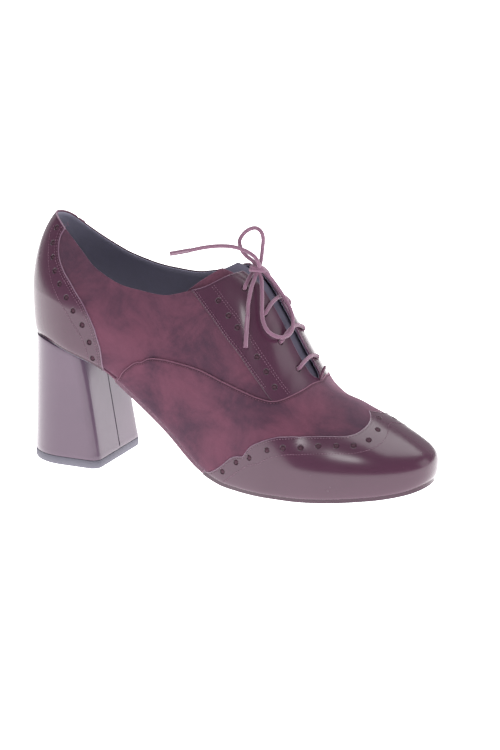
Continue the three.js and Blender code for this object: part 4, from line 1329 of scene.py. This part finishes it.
# ends a panel just over the collar line
def cutAtCollar(grid, field, out, over):
    p = grid["points"]
    at = p[:, 0] / last["length"]
    line = collarHeight(grid["side"], at)
    n = grid["normals"]
    step = 1e-3

    def rimHeight(at):
        return featherHeight(at) + np.interp(at, collarRows[:, 0], collarRows[:, 1]) * last["instep"]

    rise = (rimHeight(at + step) - rimHeight(at - step)) / (2 * step * last["length"])
    away = np.stack([-rise, np.zeros_like(rise), np.ones_like(rise)], 1)
    away = away - n * (away * n).sum(1)[:, None]
    slope = np.linalg.norm(away, axis=1)
    d = (featherHeight(at) + line - p[:, 2]) / np.maximum(slope, 0.3) + over
    nearer = d < field
    grid["seam"] = np.minimum(grid["seam"], d)
    return np.where(nearer, d, field), np.where(nearer[:, None], unit(away), out)


def makeCap():
    grid = lastGrid(evenColumns(215, columnAt(108, -1, 0.0).item(), 1), levelsFrom(-1 - hemShare, 1, 104))
    corners = [(198.6, 1.4), (400, 1.4), (400, -1.5), (115.2, -1.5)]
    outlines = {side: closedOutline(seams["cap"], corners) for side in (-1, 1)}
    sides = [punchPlaces(punches["cap"], side) for side in (-1, 1)] + [punchPlaces(punches["capMiddle"], -1)]
    holes, normals = (np.vstack(both) for both in zip(*sides))
    field, out = panelField(grid, seamsOf("cap"), outlines, holes, punches["radius"])
    trimmedPanel("toe_cap", grid, field, out, layers["cap"], gloss)
    return holes, normals


def makeVamp():
    grid = lastGrid(evenColumns(210, columnAt(56, -1, 0.0).item(), 1), levelsFrom(-1 - hemShare, 1, 76))
    corners = [(171.2, 1.4), (400, 1.4), (400, -1.5), (60.8, -1.5)]
    outlines = {side: closedOutline(seams["vamp"], corners) for side in (-1, 1)}
    field, out = panelField(grid, seamsOf("vamp"), outlines, [], 0)
    trimmedPanel("vamp", grid, field, out, layers["vamp"], vampSuede)


def makeFacing(side, name):
    low, high = columnAt(96, side, 0.6).item(), columnAt(178, side, 0.4).item()
    grid = lastGrid(evenColumns(150, low, high), np.linspace(0.2, 1, 62))
    rows = seams["facing"]
    outlines = {side: closedOutline(rows, [(172, 0.40), (176, 1.4), (90, 1.4), (90, 0.60)])}
    eyelets = [onInstep(at + (skew if side > 0 else 0), side * reach * last["ball"], 0.0) for at, skew, reach in bars]
    punched = punchPlaces(punches["facing"], side)
    field, out = panelField(grid, [seamLine(rows, side, 0.6)[0]], outlines, punched[0], punches["radius"])
    field = np.where(grid["side"] == side, field, -9)
    grid["seam"] = np.full(len(field), 9.0)  # only the top and the throat are raw edges
    for p, _ in eyelets:
        gap = p - grid["points"]
        d = np.linalg.norm(gap, axis=1) - punches["eyelet"]
        nearer = d < field
        field[nearer], out[nearer] = d[nearer], unit(gap)[nearer]
    # free edges: the throat and the top
    at = grid["points"][:, 0] / last["length"]
    n = grid["normals"]
    d = np.abs(grid["points"][:, 1]) - along(throatRows, 1, at) * last["ball"] + 0.3
    away = np.tile((0.0, -side, 0.0), (len(n), 1))
    away = unit(away - n * (away * n).sum(1)[:, None])
    throat = at < throatRows[-1, 0]
    nearer = (d < field) & throat
    field[nearer], out[nearer] = d[nearer], away[nearer]
    grid["seam"] = np.where(throat, np.minimum(grid["seam"], d), grid["seam"])
    field, out = cutAtCollar(grid, field, out, 0.3)
    trimmedPanel(name, grid, field, out, layers["facing"], gloss, 1.1)
    return punched[0], punched[1], eyelets


def makeUpper():
    uList = evenColumns(230)
    rim = [(0.84, 0.14), (0.95, 0.26), (1.1, 0.30), (1.25, 0.26), (1.36, 0.14)]
    quarters = wallShell("quarters", layers["quarters"], layers["wall"], rim, suede, uList, 62,
                         depthBelow=True)
    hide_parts("upper")
    inner = [(layers["wall"] + 0.15, 0.12), (layers["wall"] + 0.35, 0.12)]
    wallShell("upper_lining", layers["wall"] + 0.02, layers["lining"], inner, lining, uList, 40, 0.004)


makeUpper()
print("stage: quarters and lining")
makeVamp()
capHoles = makeCap()
counterHoles = makeCounter()
nearFacing, farFacing = makeFacing(-1, "facing_lateral"), makeFacing(1, "facing_medial")
print("stage: vamp, cap, counter and facings")

# dark discs in every punched hole and eyelet: painted shade of the hole floors
holeFloors("cap_hole_shade", *capHoles, layers["vamp"] - 0.02, 1.75, holeShade)
for name, found in (("counter_hole_shade", counterHoles), ("facing_hole_shade_lateral", nearFacing[:2]),
                    ("facing_hole_shade_medial", farFacing[:2])):
    holeFloors(name, *found, layers["quarters"] - 0.02, 1.75, holeShade)
eyeletPlaces = [found for facing in (nearFacing, farFacing) for found in facing[2]]
holeFloors("eyelet_hole_shade", [p for p, _ in eyeletPlaces], [n for _, n in eyeletPlaces], layers["quarters"] - 0.02, 1.9,
           holeShade)


def sewAll():
    onGloss, onSuede = [], []
    pitch = stitch["pitch"]
    for side in (-1, 1):  # the panel lies to the left or right of its seam as it runs

        def add(key, gaps, depth, rows=None, lines=onGloss):
            line = seamLine([row for row in (rows or seams[key]) if row[1] >= -1.0], side, pitch)
            for gap in gaps:
                p, n = besideLine(line, gap * side) if gap else line
                lines.append((p, n, depth - 0.08))

        add("cap", (1.3,), layers["cap"])
        add("capInner", (0,), layers["cap"])
        add("counter", (1.2, 2.5), layers["counter"])
        add("counterInner", (0,), layers["counter"])
        add("facing", (-0.7, -1.8), layers["facing"], seams["facing"][:-1])
        add("facingInner", (-0.7, 0.7), layers["facing"])
        add("vamp", (1.3,), layers["vamp"], lines=onSuede)
    sewnStitches("gloss_stitches", onGloss, paleThread)
    sewnStitches("suede_stitches", onSuede, thread)


sewAll()
makeOutsole(outsole)
makeInsole(sock)
makeHeel(heelWrap, seamDark)
makeTopPiece(topPiece)
print("stage: stitches, sole and heel")


def makeTongue():
    def tip(s):
        return tongue["tip"] - tongue["drop"] * s * s

    body = tongueSheet("tongue_body", tip, lambda s: np.full(s.shape, tongue["foot"]), tongue["depth"],
                       tongue["thickness"], padding, "lining")
    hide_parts("tongue")
    tongueSheet("tongue_ear", lambda s: tip(s) - 0.002, lambda s: tip(s) + 0.06, tongue["depth"] - 0.5, 0.9, suede,
                "suede", 0.3, *tongue["ear"])


tab = {"foot": 171.0, "sunk": 1.2, "tall": 9.0, "wide": 3.6, "thick": 1.1, "lean": 0.42, "bow": 1.1, "levels": 18}


# a short rounded tab of the vamp's suede that stands at the foot of the throat
def makeTab():
    foot, n = onInstep(np.array([tab["foot"] / last["length"]]), np.array([0.0]), 0.0)
    foot, n = foot[0] - n[0] * tab["sunk"], n[0]
    back = unit(np.array([-n[2], 0, n[0]]))
    rise = unit(n + back * tab["lean"])
    side = np.array([0.0, 1.0, 0.0])
    face = np.cross(side, rise)
    rings = []
    turns = np.linspace(0, 2 * math.pi, 25)[:-1]

    def squared(value):  # a section between a round one and a square one
        return math.copysign(abs(value) ** 0.6, value)

    for k in range(tab["levels"] + 1):
        t = k / tab["levels"]
        width = tab["wide"] * (1 - 0.18 * t) * math.sqrt(max(1 - max((t - 0.72) / 0.28, 0) ** 2, 0.0025))
        thick = tab["thick"] * (1 if t < 0.85 else math.sqrt(max(1 - ((t - 0.85) / 0.15) ** 2, 0.01)))
        middle = foot + rise * (tab["tall"] * t) + back * (tab["bow"] * math.sin(math.pi * t * 0.6))
        rings.append(np.array([middle + side * (squared(math.cos(a)) * width / 2)
                               + face * (squared(math.sin(a)) * thick / 2) for a in turns]))
    ringTower("throat_tab", rings, suede, 50)


makeTongue()
makeTab()
print("stage: tongue and tab")

bpy.context.view_layer.update()
